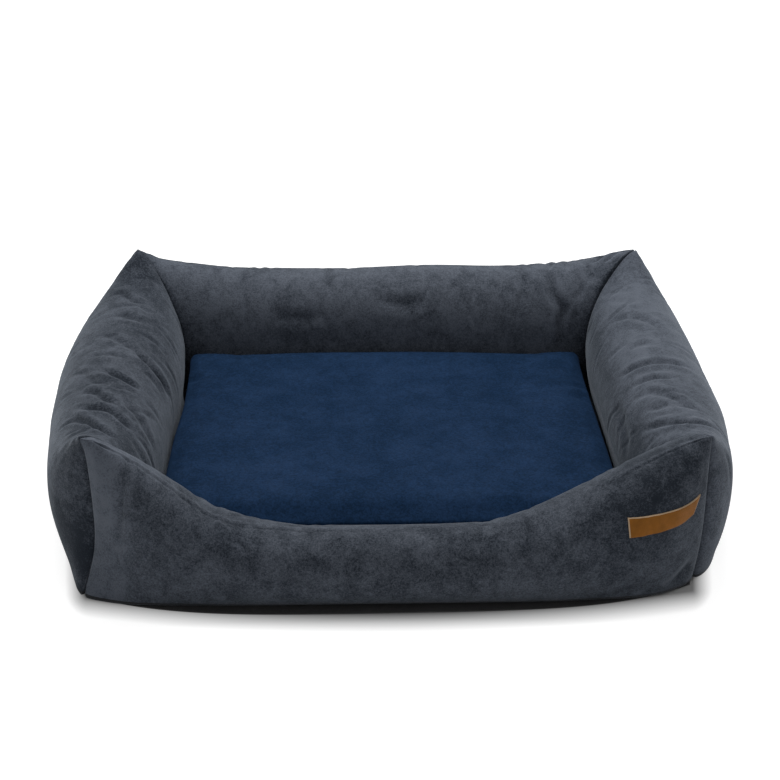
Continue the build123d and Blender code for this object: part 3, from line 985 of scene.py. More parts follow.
def small_wrinkles(roll):
    """Many short shallow furrows across the run, thickest near the corner seams."""
    luck = np.random.default_rng(WRINKLE_SEEDS[roll.side])
    top = roll.round[-1] - roll.round[RIDGE]
    total = np.zeros(roll.shape)
    for _ in range(int(WRINKLES_PER_METRE * roll.half * 2 / 1000)):
        share = luck.uniform(-1, 1)
        run = roll.half * np.sign(share) * np.abs(share) ** 0.7
        start = luck.uniform(-0.55, 0.4) * top
        long = luck.uniform(35, 95)
        slant = luck.normal(0, 0.35)
        bow = luck.normal(0, 6)
        line = [(run + slant * long * q + bow * (1 - (2 * q) ** 2), start + long * q)
                for q in (-0.5, -0.17, 0.17, 0.5)]
        total += crease(roll, line, luck.uniform(0.7, 2.2), luck.uniform(3.0, 5.5))
    return total


def creases(roll):
    total = small_wrinkles(roll)
    for line, depth, width in CREASE_LINES[roll.side]:
        total += crease(roll, line, depth, width)
    return total * smoothstep(0, 14, roll.away) * smoothstep(8, 30, roll.z)


def soft_cap(value, limit, soft=3.0):
    """Hold a value under a limit, bending into it over the last few millimetres."""
    over = (value - (limit - soft)) / soft
    return np.where(over > 0, limit - soft + soft * np.tanh(np.maximum(over, 0)), value)


class BED_OT_bolsters(bpy.types.Operator):
    """Make the four velvet bolsters, which share their corner seams"""
    bl_idname = "bed.bolsters"
    bl_label = "Bolsters"

    def execute(self, context):
        for side in ("left", "right", "back", "front"):
            piece = make_bolster(side)
            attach(piece, "bed")
            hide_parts(f"{side}_bolster_cover", f"{side}_bolster_fill")
        return {"FINISHED"}


# Mattress

# Points along and across its grid, and how its cover starts and fills
MATTRESS_GRID = (107, 90)
MATTRESS_INSET = 0.002
MATTRESS_SPARE = (1.012, 1.012, 1.0)
MATTRESS_SWELL_LIMIT = 0.004
MATTRESS_BENDING = 2.0
# Where it lies and what it keeps clear of, in millimetres
MATTRESS_FRONT = -286.0
MATTRESS_BACK = 250.0
MATTRESS_HALF = (321.0, 268.0)
MATTRESS_MIDDLE = (MATTRESS_FRONT + MATTRESS_BACK) / 2
MATTRESS_GAP = 0.7
MATTRESS_BOTTOM = 8.3
MATTRESS_CORNER = 22.0
# How much it grows towards the bolsters, across and along the bed
MATTRESS_GROWTH = (0.014, 0.012)
# Its soft front edge: how far back it sinks and leans, and by how much
FRONT_SINK = (46, 11)
FRONT_LEAN = (60, 9)
# The land of its zip: how far back it lies, the middle and half of its height, half its length,
# and how steeply it ends above and beside the zip
MATTRESS_LAND = 237.2
MATTRESS_LAND_HEIGHTS = (41, 11.6)
MATTRESS_LAND_HALF = 224
MATTRESS_LAND_SLOPES = (0.75, 1.2)

# Up the side: height, and how far the cloth is drawn in there
SIDE_DRAW = ((8.3, 12.0), (10.5, 7.5), (16, 4), (23, 1.8), (30, .6), (38, 0), (46, 0), (54, 0),
             (62, 0), (70, 0), (78, 0), (85, .3), (90, 1.2), (93.5, 3.0))
TOP_RISE = through(((3, 93.5), (5, 94.8), (9, 96.2), (16, 97.3), (30, 98.2), (60, 99),
                    (200, 99.4)))


def rounded(x, y, half_x, half_y, radius):
    """Points of a rectangle, given as shares of its sides, moved to round its corners."""
    px, py = x * half_x, y * half_y
    over_x = np.maximum(np.abs(px) - (half_x - radius), 0) / radius
    over_y = np.maximum(np.abs(py) - (half_y - radius), 0) / radius
    new_x = over_x * np.sqrt(1 - over_y ** 2 / 2)
    new_y = over_y * np.sqrt(1 - over_x ** 2 / 2)
    return (px + np.sign(px) * (new_x - over_x) * radius,
            py + np.sign(py) * (new_y - over_y) * radius)


def mattress_edges(px, py):
    """The left, right and back limits of the mattress, just clear of the bolsters."""
    return (INNER_LINE["left"](py) - SEAM_X + MATTRESS_GAP,
            SEAM_X - INNER_LINE["right"](py) - MATTRESS_GAP,
            SEAM_Y - INNER_LINE["back"](px) - MATTRESS_GAP)


def mattress_place(x, y, draw):
    half_x, half_y = MATTRESS_HALF
    px, py = rounded(x, y, half_x - draw, half_y - draw, max(MATTRESS_CORNER - draw * .3, 12))
    # Sides pull in a little between the corners
    px = px - np.sign(px) * 0.8 * (1 - y ** 2) * np.clip(np.abs(x) * 4 - 3, 0, 1)
    py = py - np.sign(py) * 0.8 * (1 - x ** 2) * np.clip(np.abs(y) * 4 - 3, 0, 1)
    left, right, back = mattress_edges(px, py + MATTRESS_MIDDLE)
    return (mix(left, right, (px / half_x + 1) / 2),
            mix(MATTRESS_FRONT, back, (py / half_y + 1) / 2))


def mattress_top(px, py):
    left, right, back = mattress_edges(px, py)
    inside = np.minimum(np.minimum(right - px, px - left),
                        np.minimum(back - py, py - MATTRESS_FRONT))
    return TOP_RISE(inside)


def slab(name, columns, rows, place, rings, top, bottom):
    """A closed pad: a top and a bottom grid, joined by rings of (height, draw) up its side."""
    x, y = np.meshgrid(np.linspace(-1, 1, columns), np.linspace(-1, 1, rows), indexing="ij")
    number = np.arange(columns * rows).reshape(columns, rows)
    edge = grid_rim(number)
    px, py = place(x, y, rings[-1][1])
    upper = np.stack([px, py, top(px, py)], axis=-1).reshape(-1, 3)
    px, py = place(x, y, rings[0][1])
    lower = np.stack([px, py, np.full_like(px, bottom)], axis=-1).reshape(-1, 3)
    total = columns * rows
    quads = grid_quads(number)
    quads += [tuple(total + i for i in reversed(q)) for q in quads]
    points, loops, base = [upper, lower], [edge], total * 2
    for height, draw in reversed(rings[1:-1]):
        px, py = place(x.ravel()[edge], y.ravel()[edge], draw)
        points.append(np.stack([px, py, np.full_like(px, height)], axis=-1))
        loops.append(np.arange(base, base + len(edge)))
        base += len(edge)
    loops.append(edge + total)
    for high, low in zip(loops, loops[1:]):
        following = np.roll(high, -1), np.roll(low, -1)
        quads += list(zip(high, low, following[1], following[0]))
    return mesh_object(name, np.vstack(points), quads)


def fill_mattress(piece):
    """Blow the cover up from a smaller start, held at its bottom edge."""
    pz = coordinates(piece.data)[:, 2] / MM
    free = smoothstep(12, 40, pz)
    start = coordinates(piece.data) - point_normals(piece.data) * (MATTRESS_INSET * free)[:, None]
    set_coordinates(piece.data, start)
    cut = coordinates(piece.data) * np.array(MATTRESS_SPARE)
    swell(piece, (pz < 12).astype(float), cut, bpy.context.scene.bed_sizes.mattress_puff,
          MATTRESS_SWELL_LIMIT, MATTRESS_BENDING)


def front_slump(reach, py):
    """One along the mattress's front edge, falling to nothing at its reach from it."""
    return 1 - smoothstep(0, reach, py - MATTRESS_FRONT)


def make_mattress():
    piece = slab("mattress", *MATTRESS_GRID, mattress_place, SIDE_DRAW, mattress_top,
                 MATTRESS_BOTTOM)
    fill_mattress(piece)
    px, py, pz = (coordinates(piece.data) / MM).T
    full = smoothstep(20, 60, pz)
    wider, longer = MATTRESS_GROWTH
    px, py = px * (1 + wider * full), py + longer * full * (py - MATTRESS_MIDDLE)
    # The front edge is soft and leans out over the front bolster's hollow
    reach, sink = FRONT_SINK
    pz = pz - sink * front_slump(reach, py) ** 1.4 * smoothstep(50, 92, pz)
    pz = pz + mattress_folds(px, py) * smoothstep(86, 92, pz)
    # Clear of the bolsters, so that it lifts out
    left, right, back = mattress_edges(px, py)
    px = np.clip(px, left, right)
    py = np.clip(py, MATTRESS_FRONT - 2, back)
    reach, lean = FRONT_LEAN
    py = py - lean * front_slump(reach, py) * smoothstep(56, 82, pz)
    middle, half = MATTRESS_LAND_HEIGHTS
    above, beside = MATTRESS_LAND_SLOPES
    land = MATTRESS_LAND + np.maximum(0, np.abs(pz - middle) - half) / above
    land = land + np.maximum(0, np.abs(px) - MATTRESS_LAND_HALF) * beside
    py = np.where(py > 200, np.minimum(py, land), py)
    set_coordinates(piece.data, np.stack([px, py, np.maximum(pz, MATTRESS_BOTTOM)], axis=-1) * MM)
    # Painted shade along the left, right and back edges, where the bolsters stand over the mattress
    inside = np.minimum(np.minimum(right - px, px - left), back - py)
    store_tone_and_painted_light(piece, -0.26 * np.exp(-np.maximum(inside, 0) / 45))
    subdivide(piece)
    paint(piece, "navy velvet")
    return piece


# Folds in the mattress's top: start, end, and height in millimetres
MATTRESS_FOLDS = (
    ((318, 84), (214, 62), 3.0), ((318, 50), (240, 66), -2.5), ((300, 110), (222, 100), 2.0),
    ((-330, 150), (-292, 128), -5.0), ((-330, 20), (-262, 40), 1.6),
    ((-200, -60), (-60, -84), 1.2), ((60, 120), (190, 150), 1.2), ((-60, 190), (60, 205), 1.0),
)


def mattress_folds(px, py):
    """Soft folds where the loose cover has slipped over its core."""
    total = np.zeros_like(px)
    for start, end, height in MATTRESS_FOLDS:
        a, b = np.array(start, float), np.array(end, float)
        d = b - a
        share = np.clip(((px - a[0]) * d[0] + (py - a[1]) * d[1]) / (d @ d), 0, 1)
        far = np.hypot(px - a[0] - share * d[0], py - a[1] - share * d[1])
        total += height * (1 - share ** 2) * np.exp(-(far / 9.0) ** 2)
    return total


class BED_OT_mattress(bpy.types.Operator):
    """Make the loose mattress with its navy velvet cover"""
    bl_idname = "bed.mattress"
    bl_label = "Mattress"

    def execute(self, context):
        piece = make_mattress()
        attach(piece, "mattress")
        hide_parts("mattress_cover", "mattress_core")
        return {"FINISHED"}


# What repeats

SHAPE = ("NodeSocketGeometry",)
STITCH = (0.0026, 0.0006, 0.0005)


def repeating(name, **inputs):
    return group(name, {"Geometry": SHAPE, **inputs, "Finish": ("NodeSocketMaterial",)},
                 {"Geometry": SHAPE}, "GeometryNodeTree")


def spread_over(tree, points, piece, **named):
    return wire(tree, "GeometryNodeInstanceOnPoints", points, named={"Instance": piece, **named})


def end_tree(tree, given, wanted, instances):
    real = wire(tree, "GeometryNodeRealizeInstances", instances)
    done = wire(tree, "GeometryNodeSetMaterial", real, named={"Material": given["Finish"]})
    plug(tree, wanted, 0, done)
    return tree


def stitches_tree():
    """Stitches, evenly spaced along the lines of a mesh."""
    tree, given, wanted = repeating("stitches along lines", Pitch=(NUMBER, 0.0036),
                                    Stitch=(VECTOR, STITCH))
    path = wire(tree, "GeometryNodeMeshToCurve", given["Geometry"])
    even = wire(tree, "GeometryNodeResampleCurve", path, named={"Length": given["Pitch"]},
                mode="LENGTH")
    thread = wire(tree, "GeometryNodeMeshIcoSphere", named={"Radius": 0.5}, out="Mesh")
    turn = wire(tree, "FunctionNodeAlignRotationToVector", axis="X",
                named={"Vector": wire(tree, "GeometryNodeInputTangent")})
    sewn = spread_over(tree, even, thread, Rotation=turn, Scale=given["Stitch"])
    return end_tree(tree, given, wanted, sewn)


def dots_tree():
    """A low round dot at every point of a mesh."""
    tree, given, wanted = repeating("grip dots", Radius=(NUMBER, 0.0022),
                                    Height=(NUMBER, 0.0006))
    dot = wire(tree, "GeometryNodeMeshCone", out="Mesh", named={
        "Vertices": 8, "Radius Bottom": given["Radius"] * 0.6, "Radius Top": given["Radius"],
        "Depth": given["Height"]})
    return end_tree(tree, given, wanted, spread_over(tree, given["Geometry"], dot))


def teeth_tree():
    """Two facing rows of moulded teeth along x, shifted by half a pitch."""
    tree, given, wanted = repeating("zip teeth", Length=(NUMBER, 0.25), Pitch=(NUMBER, 0.003))
    pitch, long = given["Pitch"], given["Length"]
    count = (long / pitch).maths("FLOOR")
    rows = add(tree, "GeometryNodeJoinGeometry")
    for way in (-1, 1):
        start = long * -0.5 + pitch * (0.5 + 0.25 * way)
        line = wire(tree, "GeometryNodeMeshLine", mode="OFFSET", named={
            "Count": count, "Start Location": wire(tree, "ShaderNodeCombineXYZ", start),
            "Offset": wire(tree, "ShaderNodeCombineXYZ", pitch)})
        tooth = add(tree, "GeometryNodeJoinGeometry")
        for size, across in (((0.0013, 0.0021, 0.0016), 0.0014), ((0.0019, 0.0012, 0.0020), 0.0)):
            block = wire(tree, "GeometryNodeMeshCube", size)
            plug(tree, tooth, 0, wire(tree, "GeometryNodeTransform", block, named={
                "Translation": (0, way * across, size[2] / 2)}))
        plug(tree, rows, 0, spread_over(tree, line, tooth.outputs[0]))
    return end_tree(tree, given, wanted, rows.outputs[0])


def repeated(name, tree, source, finish, **values):
    """A plain mesh of what a tree makes from a source object, which is used up."""
    maker = source.modifiers.new("made", "NODES")
    maker.node_group = tree
    values["Finish"] = finishes()[finish]
    for item in tree.interface.items_tree:
        if item.in_out == "INPUT" and item.name in values:
            maker[item.identifier] = values[item.name]
    baked(source)
    source.name = source.data.name = name
    return source


def lines_object(name, lines):
    """An object of bare polylines, given as lists of points in millimetres."""
    points = [tuple(v * MM for v in p) for line in lines for p in line]
    joins, base = [], 0
    for line in lines:
        joins += [(base + i, base + i + 1) for i in range(len(line) - 1)]
        base += len(line)
    mesh = bpy.data.meshes.new(name)
    mesh.from_pydata(points, joins, [])
    return shown(name, mesh)


def tree_named(name, make):
    return bpy.data.node_groups.get(name) or make()


def stitched(name, lines):
    return repeated(name, tree_named("stitches along lines", stitches_tree),
                    lines_object(name, lines), "sewing thread",
                    Pitch=bpy.context.scene.bed_sizes.stitch_pitch, Stitch=STITCH)


# Base and floor

# The base's outline: where its corners lie, and how far its sides bow out between them
BASE_CORNERS = ((-1, -1, 429, 344), (1, -1, 403, 335), (-1, 1, 424, 340), (1, 1, 424, 340))
BASE_BOW = {"side": 28.0, "back": 20.0, "front": 56.0}
BASE_TOP = 2.0
BASE_UNDER = 0.6
BASE_RINGS = ((BASE_UNDER, 2.6), (0.75, 1.0), (1.1, .2), (1.5, .2), (1.8, 1.0), (BASE_TOP, 2.6))


def base_place(x, y, draw):
    corner_x = corner_y = 0
    for side_x, side_y, at_x, at_y in BASE_CORNERS:
        weight = (1 + side_x * x) * (1 + side_y * y) / 4
        corner_x = corner_x + weight * at_x
        corner_y = corner_y + weight * at_y
    bow_y = np.where(y > 0, BASE_BOW["back"] * (1 - x ** 2), BASE_BOW["front"] * (1 - x ** 4))
    return (x * (corner_x + BASE_BOW["side"] * (1 - y ** 2) - draw),
            y * (corner_y + bow_y - draw))


# The grip dots: their rows and columns each way from the middle, the height of a row for each
# pitch, half the size of the field they cover, what its bow runs over, and their size in metres
DOT_ROWS = 40
DOT_COLUMNS = 48
DOT_ROW_HEIGHT = 0.866
DOT_FIELD = (417.0, 332.0)
DOT_BOW = (424.0, 340.0)
DOT_MARGIN = 18.0
DOT_RADIUS = 0.0024
DOT_HEIGHT = 0.0006


def grip_spots(pitch):
    """Where the grip dots stand: in rows, each second one half a pitch further."""
    spots = []
    for row in range(-DOT_ROWS, DOT_ROWS + 1):
        for column in range(-DOT_COLUMNS, DOT_COLUMNS + 1):
            x, y = (column + 0.5 * (row % 2)) * pitch, row * pitch * DOT_ROW_HEIGHT
            side = BASE_BOW["side"] * max(0, 1 - (y / DOT_BOW[1]) ** 2)
            back = BASE_BOW["back"] * max(0, 1 - (x / DOT_BOW[0]) ** 2)
            share_x = x / (DOT_FIELD[0] + side - DOT_MARGIN)
            share_y = y / (DOT_FIELD[1] + back - DOT_MARGIN)
            if abs(share_x) < 1 and abs(share_y) < 1:
                spots.append((x, y, 0.05))
    return spots


# The floor's outline, its rounded edge and its quilting, in millimetres
FLOOR_X = 357.5
FLOOR_FRONT = -290.0
FLOOR_BACK = 284.5
FLOOR_CORNER = 24.0
FLOOR_RINGS = ((2.2, 3.0), (2.6, 1.2), (3.4, .2), (5, 0), (6.2, .2), (7.0, 1.2), (7.4, 3.0))
QUILT = 62.0
QUILT_TOP = 7.95
QUILT_SINK = 0.55
CHANNEL = 3.2


def floor_place(x, y, draw):
    half_y = (FLOOR_BACK - FLOOR_FRONT) / 2
    px, py = rounded(x, y, FLOOR_X - draw, half_y - draw, FLOOR_CORNER)
    return px, py + (FLOOR_BACK + FLOOR_FRONT) / 2


def quilted(px, py):
    """Height of the quilted lining: sunk along two sets of slanting stitched channels."""
    height = np.full_like(px, QUILT_TOP)
    for way in (-1, 1):
        turn = (px + way * py) / QUILT
        far = np.abs(turn - np.round(turn)) * QUILT / 1.4142
        height = height - QUILT_SINK * np.exp(-(far / CHANNEL) ** 2)
    inside = np.minimum(FLOOR_X - np.abs(px), np.minimum(FLOOR_BACK - py, py - FLOOR_FRONT))
    return height - 0.5 * (1 - smoothstep(2, 10, inside))


def quilt_lines():
    lines = []
    for way in (-1, 1):
        for number in range(-10, 11):
            offset = number * QUILT
            xs = np.linspace(-FLOOR_X + 8, FLOOR_X - 8, 120)
            ys = way * (offset - xs)
            keep = (ys > FLOOR_FRONT + 8) & (ys < FLOOR_BACK - 8)
            if keep.sum() > 2:
                xs, ys = xs[keep], ys[keep]
                lines.append(np.stack([xs, ys, quilted(xs, ys) + 0.05], axis=-1))
    return lines


class BED_OT_base(bpy.types.Operator):
    """Make the bowed non-slip base with its grip dots, and the quilted floor over it"""
    bl_idname = "bed.base"
    bl_label = "Base and floor"

    def execute(self, context):
        base = slab("base_panel", 61, 53, base_place, BASE_RINGS,
                    lambda px, py: np.full_like(px, BASE_TOP), BASE_UNDER)
        paint(base, "non-slip base")
        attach(base, "bed")
        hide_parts("base_bottom")
        spots = grip_spots(context.scene.bed_sizes.dot_pitch / MM)
        dots = repeated("base_grip_dots", tree_named("grip dots", dots_tree),
                        lines_object("base_grip_dots", [[p] for p in spots]), "non-slip base",
                        Radius=DOT_RADIUS, Height=DOT_HEIGHT)
        rim = np.linspace(-1, 1, 160)
        ones = np.ones_like(rim)
        hem = [np.stack([*base_place(*at, 7.0), ones * (BASE_UNDER - 0.05)], axis=-1)
               for at in ((rim, -ones), (rim, ones), (-ones, rim), (ones, rim))]
        seam = stitched("base_stitches", hem)
        floor = slab("floor_lining", 150, 121, floor_place, FLOOR_RINGS, quilted, 2.2)
        paint(floor, "floor lining")
        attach(floor, "bed")
        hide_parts("base_floor")
        quilting = stitched("floor_stitches", quilt_lines())
        for piece, look in ((dots, "nonslip_base"), (seam, "slate_velvet"),
                            (quilting, "lining")):
            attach(piece, "bed")
        return {"FINISHED"}


# Zips

# Across a zip's tape: distance from its middle and height over its face, in millimetres
TAPE_FACE = ((-11, -.5), (-10.8, -.1), (-10.2, .1), (-9.6, 0), (-9.2, -.12), (-6.5, -.12),
             (-3.6, -.1), (-3.2, .05), (-2.7, .05), (0, -.05), (2.7, .05), (3.2, .05),
             (3.6, -.1), (6.5, -.12), (9.2, -.12), (9.6, 0), (10.2, .1), (10.8, -.1), (11, -.5))
TAPE_BACK = -0.78
TAPE_HALF = 11
# How far the two rows of stitches lie from the tape's middle, and where they end
SEWN_ROWS = 7.9
SEWN_END = 4
# How much shorter the teeth are than the tape
TEETH_SHORT = 9


def zip_matrix(name):
    """Where a zip lies: x along it, y across it, z out of it, on the middle of its tape."""
    joints = {joint["name"]: joint for joint in frame["joints"]}
    along = Vector(joints[f"{name}_zip_slide"]["axis"])
    across = Vector(joints[f"{name}_pull_turn"]["axis"])
    low, high = (Vector(v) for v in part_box(f"{name}_zip_tape"))
    pull_low, pull_high = (Vector(v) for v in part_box(f"{name}_zip_pull"))
    out = along.cross(across)
    if (pull_low + pull_high - low - high).dot(out) < 0:
        out, across = -out, -across
    place = (low + high) / 2 + out * 0.0004
    place = place - along * place.dot(along)
    return Matrix((along, across, out)).transposed().to_4x4(), place


def zip_length(name):
    low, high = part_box(f"{name}_zip_tape")
    return max(high[0] - low[0], high[1] - low[1]) / MM


def laid(piece, name):
    turn, place = zip_matrix(name)
    piece.data.transform(Matrix.Translation(place) @ turn)
    piece.data.update()
    return piece


def make_tape(name):
    half = zip_length(name) / 2
    profile = [*TAPE_FACE, (TAPE_HALF, TAPE_BACK), (0, TAPE_BACK), (-TAPE_HALF, TAPE_BACK)]
    runs = np.linspace(-half, half, 90)
    points = [(run, across, out) for run in runs for across, out in profile]
    width, total = len(profile), len(points)
    faces = tube_quads(len(runs), width) + [range(width), range(total - width, total)]
    tape = laid(mesh_object(f"{name}_tape", points, faces), name)
    paint(tape, "zip tape")
    return tape


class BED_OT_zips(bpy.types.Operator):
    """Make each zip's woven tape, its two rows of teeth and the stitches that hold it"""
    bl_idname = "bed.zips"
    bl_label = "Zips"

    def execute(self, context):
        pitch = context.scene.bed_sizes.tooth_pitch
        for name in ("left", "right", "back", "mattress"):
            body = "mattress" if name == "mattress" else "bed"
            half = zip_length(name) / 2
            tape = make_tape(name)
            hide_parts(f"{name}_zip_tape")
            teeth = repeated(f"{name}_teeth", tree_named("zip teeth", teeth_tree),
                             lines_object(f"{name}_teeth", [[(0, 0, 0)]]), "zip teeth",
                             Length=(half * 2 - TEETH_SHORT) * MM, Pitch=pitch)
            laid(teeth, name)
            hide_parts(f"{name}_zip_teeth")
            rows = [[(u, v, 0.0) for u in np.linspace(SEWN_END - half, half - SEWN_END, 40)]
                    for v in (-SEWN_ROWS, SEWN_ROWS)]
            sewn = laid(stitched(f"{name}_zip_stitches", rows), name)
            for piece in (tape, teeth, sewn):
                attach(piece, body)
        return {"FINISHED"}


# Leather tag

# The tag's middle line on the front, in x and z, and the lean of its two ends
TAG_X = through(((0, 301.4), (.157, 318), (.333, 336.5), (.53, 357.5), (.77, 379.5), (1, 396.5)))
TAG_Z = through(((0, 125.9), (.157, 127.2), (.333, 129.8), (.53, 132.5), (.77, 135.5), (1, 142)))
TAG_ENDS = ((-0.116, 0.993), (0.333, 0.943))
TAG_HALF = 13.6
TAG_THICK = 1.8
# How many points the tag has along and across, how often it is smoothed over the cloth, and how
# far over the cloth it lies
TAG_GRID = (61, 21)
TAG_SMOOTHINGS = 60
TAG_LIFT = 0.1


def cloth_front(x, z):
    """How far forward the covers of the front and the right bolster reach at each point."""
    covers = [bpy.data.objects[f"{side}_bolster"].data for side in ("front", "right")]
    trees = [BVHTree.FromPolygons(coordinates(cover) / MM,
                                  [tuple(face.vertices) for face in cover.polygons])
             for cover in covers]
    y = np.empty_like(x)
    for index in np.ndindex(x.shape):
        hits = [tree.ray_cast((x[index], -600.0, z[index]), (0, 1, 0))[0] for tree in trees]
        hits = [hit.y for hit in hits if hit is not None]
        y[index] = min(hits) if hits else np.nan
    return np.where(np.isnan(y), np.nanmax(y), y)


def laid_over(on_cloth):
    """The depth of a strip of leather that lies on the cloth and bridges its hollows."""
    y = on_cloth
    for _ in range(TAG_SMOOTHINGS):
        wide = np.pad(y, 1, mode="edge")
        wide[0], wide[-1] = 2 * wide[1] - wide[2], 2 * wide[-2] - wide[-3]
        wide[:, 0], wide[:, -1] = 2 * wide[:, 1] - wide[:, 2], 2 * wide[:, -2] - wide[:, -3]
        mean = (wide[:-2, 1:-1] + wide[2:, 1:-1] + wide[1:-1, :-2] + wide[1:-1, 2:]) / 4
        y = np.minimum(mix(y, mean, 0.5), on_cloth - TAG_LIFT)
    return y


def make_tag():
    along, across = TAG_GRID
    s, v = np.meshgrid(np.linspace(0, 1, along), np.linspace(-1, 1, across), indexing="ij")
    lean = [mix(a, b, smoothstep(0, 1, s)) for a, b in zip(*TAG_ENDS)]
    x, z = TAG_X(s) + lean[0] * v * TAG_HALF, TAG_Z(s) + lean[1] * v * TAG_HALF
    y = laid_over(cloth_front(x, z))
    under = np.stack([x, y - TAG_LIFT, z], axis=-1)
    facing = np.cross(np.gradient(under, axis=0), np.gradient(under, axis=1))
    facing /= np.linalg.norm(facing, axis=-1, keepdims=True)
    facing *= np.where(facing[..., 1:2] > 0, -1, 1)
    edge = np.minimum(np.minimum(s * 100, (1 - s) * 100), (1 - np.abs(v)) * TAG_HALF)
    over = under + facing * (TAG_THICK - 0.5 * np.exp(-edge / 0.6))[..., None]
    count = along * across
    number = np.arange(count).reshape(along, across)
    quads = grid_quads(number)
    faces = quads + [tuple(count + k for k in reversed(q)) for q in quads]
    rim = grid_rim(number)
    after = np.roll(rim, -1)
    cut_from = len(faces)
    faces += list(zip(rim, rim + count, after + count, after))
    tag = mesh_object("tag", np.vstack([over.reshape(-1, 3), under.reshape(-1, 3)]), faces)
    paint(tag, "tan leather", "cut leather edge")
    for face in tag.data.polygons[cut_from:]:
        face.material_index = 1
        face.use_smooth = False
    # The pale cut shows on the top edge and on the two ends
    rows = across - 1
    for index in range((along - 1) * rows):
        i, j = divmod(index, rows)
        if j == rows - 1 or i in (0, along - 2):
            tag.data.polygons[index].material_index = 1
    return tag


class BED_OT_tag(bpy.types.Operator):
    """Make the bare leather tag that lies on the front and is sewn into the corner seam"""
    bl_idname = "bed.tag"
    bl_label = "Leather tag"

    def execute(self, context):
        tag = make_tag()
        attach(tag, "bed")
        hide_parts("leather_tag")
        return {"FINISHED"}


# Stage

CAMERA_PLACE = (-0.0594, -2.2839, 1.2636)
CAMERA_YAW = 1.378
CAMERA_DROP = 26.16
CAMERA_LENS = 77.2
LAMP_AIM = Vector((0, 0, 0.1))
# Each lamp's name, place, size and power
LAMPS = (
    ("overhead", (-0.1, 0.95, 2.5), 1.7, 62.0),
    ("front", (-0.3, -2.6, 2.2), 1.8, 13.0),
    ("right", (2.3, 0.2, 1.6), 1.2, 5.0),
)
# How the floor's own light grows outwards from the bed, leaving a painted contact shadow round
# it: its outline, and then distances and strengths there
BED_MIDDLE = (-0.012, 0.0)
BED_HALF = (0.450, 0.396)
BED_BOW = (0.28, 0.29)
BED_BOW_END = 0.45
GLOW_SQUEEZE = (1.8, 1.0)
NEAR_GLOW = (0.0, 0.05, 0.0, 0.85)
FAR_GLOW = (0.35, 1.4, 0.0, 0.4)
# Tones of the paper, and strengths of the sky: for the light that falls, and as it is seen. The
# paper is seen darker than it lights the bed, which deepens the painted shadow round the bed
FLOOR_TONES = (0.88, 0.42)
SKY_STRENGTHS = (0.24, 1.0)


def seen_rays(tree):
    """One for the rays that see a surface, and zero for those that light it."""
    rays = named_wires(tree, add(tree, "ShaderNodeLightPath"))
    clear = rays["Is Glossy Ray"].maths("MAXIMUM", rays["Is Transmission Ray"])
    return rays["Is Camera Ray"].maths("MAXIMUM", clear)


def floor_glow(tree):
    """How strongly the floor shines, from nothing under the bed to full away from it; the dip near
    the bed is a painted contact shadow.
    """
    place = wire(tree, "ShaderNodeTexCoord", out="Object")
    past = []
    for this, other in ((0, 1), (1, 0)):
        off = (axis_of(tree, place, this) - BED_MIDDLE[this]).maths("ABSOLUTE")
        across = axis_of(tree, place, other).maths("ABSOLUTE").maths("MINIMUM", BED_BOW_END)
        sag = across.maths("POWER", 2.0) * BED_BOW[this]
        off = (off + sag - BED_HALF[this]) * GLOW_SQUEEZE[this]
        past.append(off.maths("MAXIMUM", 0.0).maths("POWER", 2.0))
    far = (past[0] + past[1]).maths("SQRT")
    return far.spread(*NEAR_GLOW) + far.spread(*FAR_GLOW)


def lit_floor():
    bpy.ops.mesh.primitive_plane_add(size=40.0, location=(0, 0, 0))
    floor = bpy.context.active_object
    floor.name = "studio_floor"
    made, tree, shader = material("studio floor")
    seen = seen_rays(tree)
    # The floor's glow, which stays off near the bed and so leaves a painted contact shadow there
    glow = wire(tree, "ShaderNodeEmission", (1, 1, 1, 1), seen * floor_glow(tree))
    both = wire(tree, "ShaderNodeAddShader", shader.outputs[0], glow)
    ending = [n for n in tree.nodes if n.type == "OUTPUT_MATERIAL"][0]
    plug(tree, ending, 0, both)
    # Seen darker than it lights, which deepens the painted shadow round the bed
    grey = seen.spread(0.0, 1.0, *FLOOR_TONES)
    plugs(tree, shader, {
        "Base Color": wire(tree, "ShaderNodeCombineColor", grey, grey, grey),
        "Roughness": 0.9, "Specular IOR Level": 0.1,
    })
    floor.data.materials.append(made)


def white_sky(scene):
    scene.world = bpy.data.worlds.new("studio")
    scene.world.use_nodes = True
    tree = scene.world.node_tree
    tree.nodes.clear()
    strength = seen_rays(tree).spread(0.0, 1.0, *SKY_STRENGTHS)
    sky = wire(tree, "ShaderNodeBackground", (1, 1, 1, 1), strength)
    add(tree, "ShaderNodeOutputWorld", sky)


def held_at(scene, name, data, place, turn):
    holder = bpy.data.objects.new(name, data)
    holder.location = place
    holder.rotation_euler = turn
    scene.collection.objects.link(holder)
    return holder


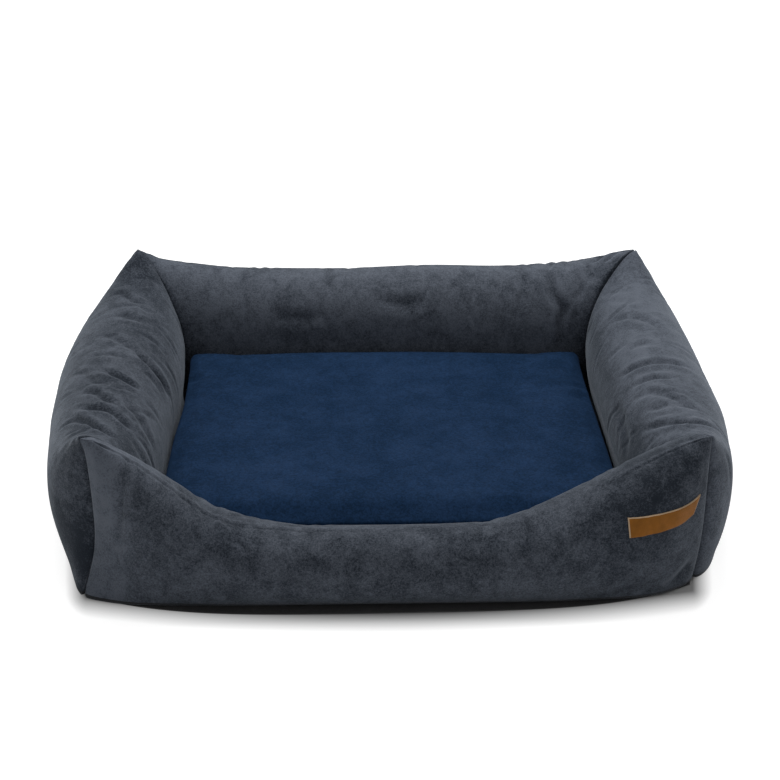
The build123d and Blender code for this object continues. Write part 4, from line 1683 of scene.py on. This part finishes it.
class BED_OT_stage(bpy.types.Operator):
    """Set up the pale floor, the soft studio light and the camera"""
    bl_idname = "bed.stage"
    bl_label = "Stage"

    def execute(self, context):
        scene = context.scene
        lit_floor()
        white_sky(scene)
        for name, place, size, power in LAMPS:
            lamp = bpy.data.lights.new(name, "AREA")
            lamp.shape = "SQUARE"
            lamp.size = size
            lamp.energy = power
            aim = LAMP_AIM - Vector(place)
            held_at(scene, name, lamp, place, aim.to_track_quat("-Z", "Y").to_euler())
        lens = bpy.data.cameras.new("camera")
        lens.lens = CAMERA_LENS
        lens.sensor_width = 36.0
        lens.clip_end = 100.0
        scene.camera = held_at(scene, "camera", lens, CAMERA_PLACE,
                               (radians(90 - CAMERA_DROP), 0, -radians(CAMERA_YAW)))
        scene.view_settings.view_transform = "Standard"
        return {"FINISHED"}


class BED_OT_carried(bpy.types.Operator):
    """Give the zips' sliders, pulls and stops their metal"""
    bl_idname = "bed.carried"
    bl_label = "Sliders, pulls and stops"

    def execute(self, context):
        kept = finishes()
        for name, node in frame["nodes"].items():
            if name.rsplit("_", 1)[1] in ("stops", "slider", "pull"):
                node.data.materials.clear()
                node.data.materials.append(kept["zip metal"])
        return {"FINISHED"}


class BED_PT_panel(bpy.types.Panel):
    """Lists the bed's pieces in the order in which they are made"""
    bl_label = "Dog bed"
    bl_idname = "BED_PT_panel"
    bl_space_type = "VIEW_3D"
    bl_region_type = "UI"
    bl_category = "Dog bed"

    def draw(self, context):
        for kind in OPERATORS:
            self.layout.operator(kind.bl_idname, text=kind.bl_label)
        for owner in (context.scene.bed_sizes, context.scene.bed_colours):
            for key in owner.__annotations__:
                self.layout.prop(owner, key)


OPERATORS = (BED_OT_bolsters, BED_OT_mattress, BED_OT_base, BED_OT_zips, BED_OT_tag,
             BED_OT_carried, BED_OT_stage)


def register():
    for kind in (BedSizes, BedColours, *OPERATORS, BED_PT_panel):
        bpy.utils.register_class(kind)
    bpy.types.Scene.bed_sizes = PointerProperty(type=BedSizes)
    bpy.types.Scene.bed_colours = PointerProperty(type=BedColours)


def unregister():
    del bpy.types.Scene.bed_colours
    del bpy.types.Scene.bed_sizes
    for kind in reversed((BedSizes, BedColours, *OPERATORS, BED_PT_panel)):
        bpy.utils.unregister_class(kind)


def main():
    register()
    bpy.ops.bed.bolsters()
    bpy.ops.bed.mattress()
    bpy.ops.bed.base()
    bpy.ops.bed.zips()
    bpy.ops.bed.tag()
    bpy.ops.bed.carried()
    bpy.ops.bed.stage()


if __name__ == "__main__":
    main()
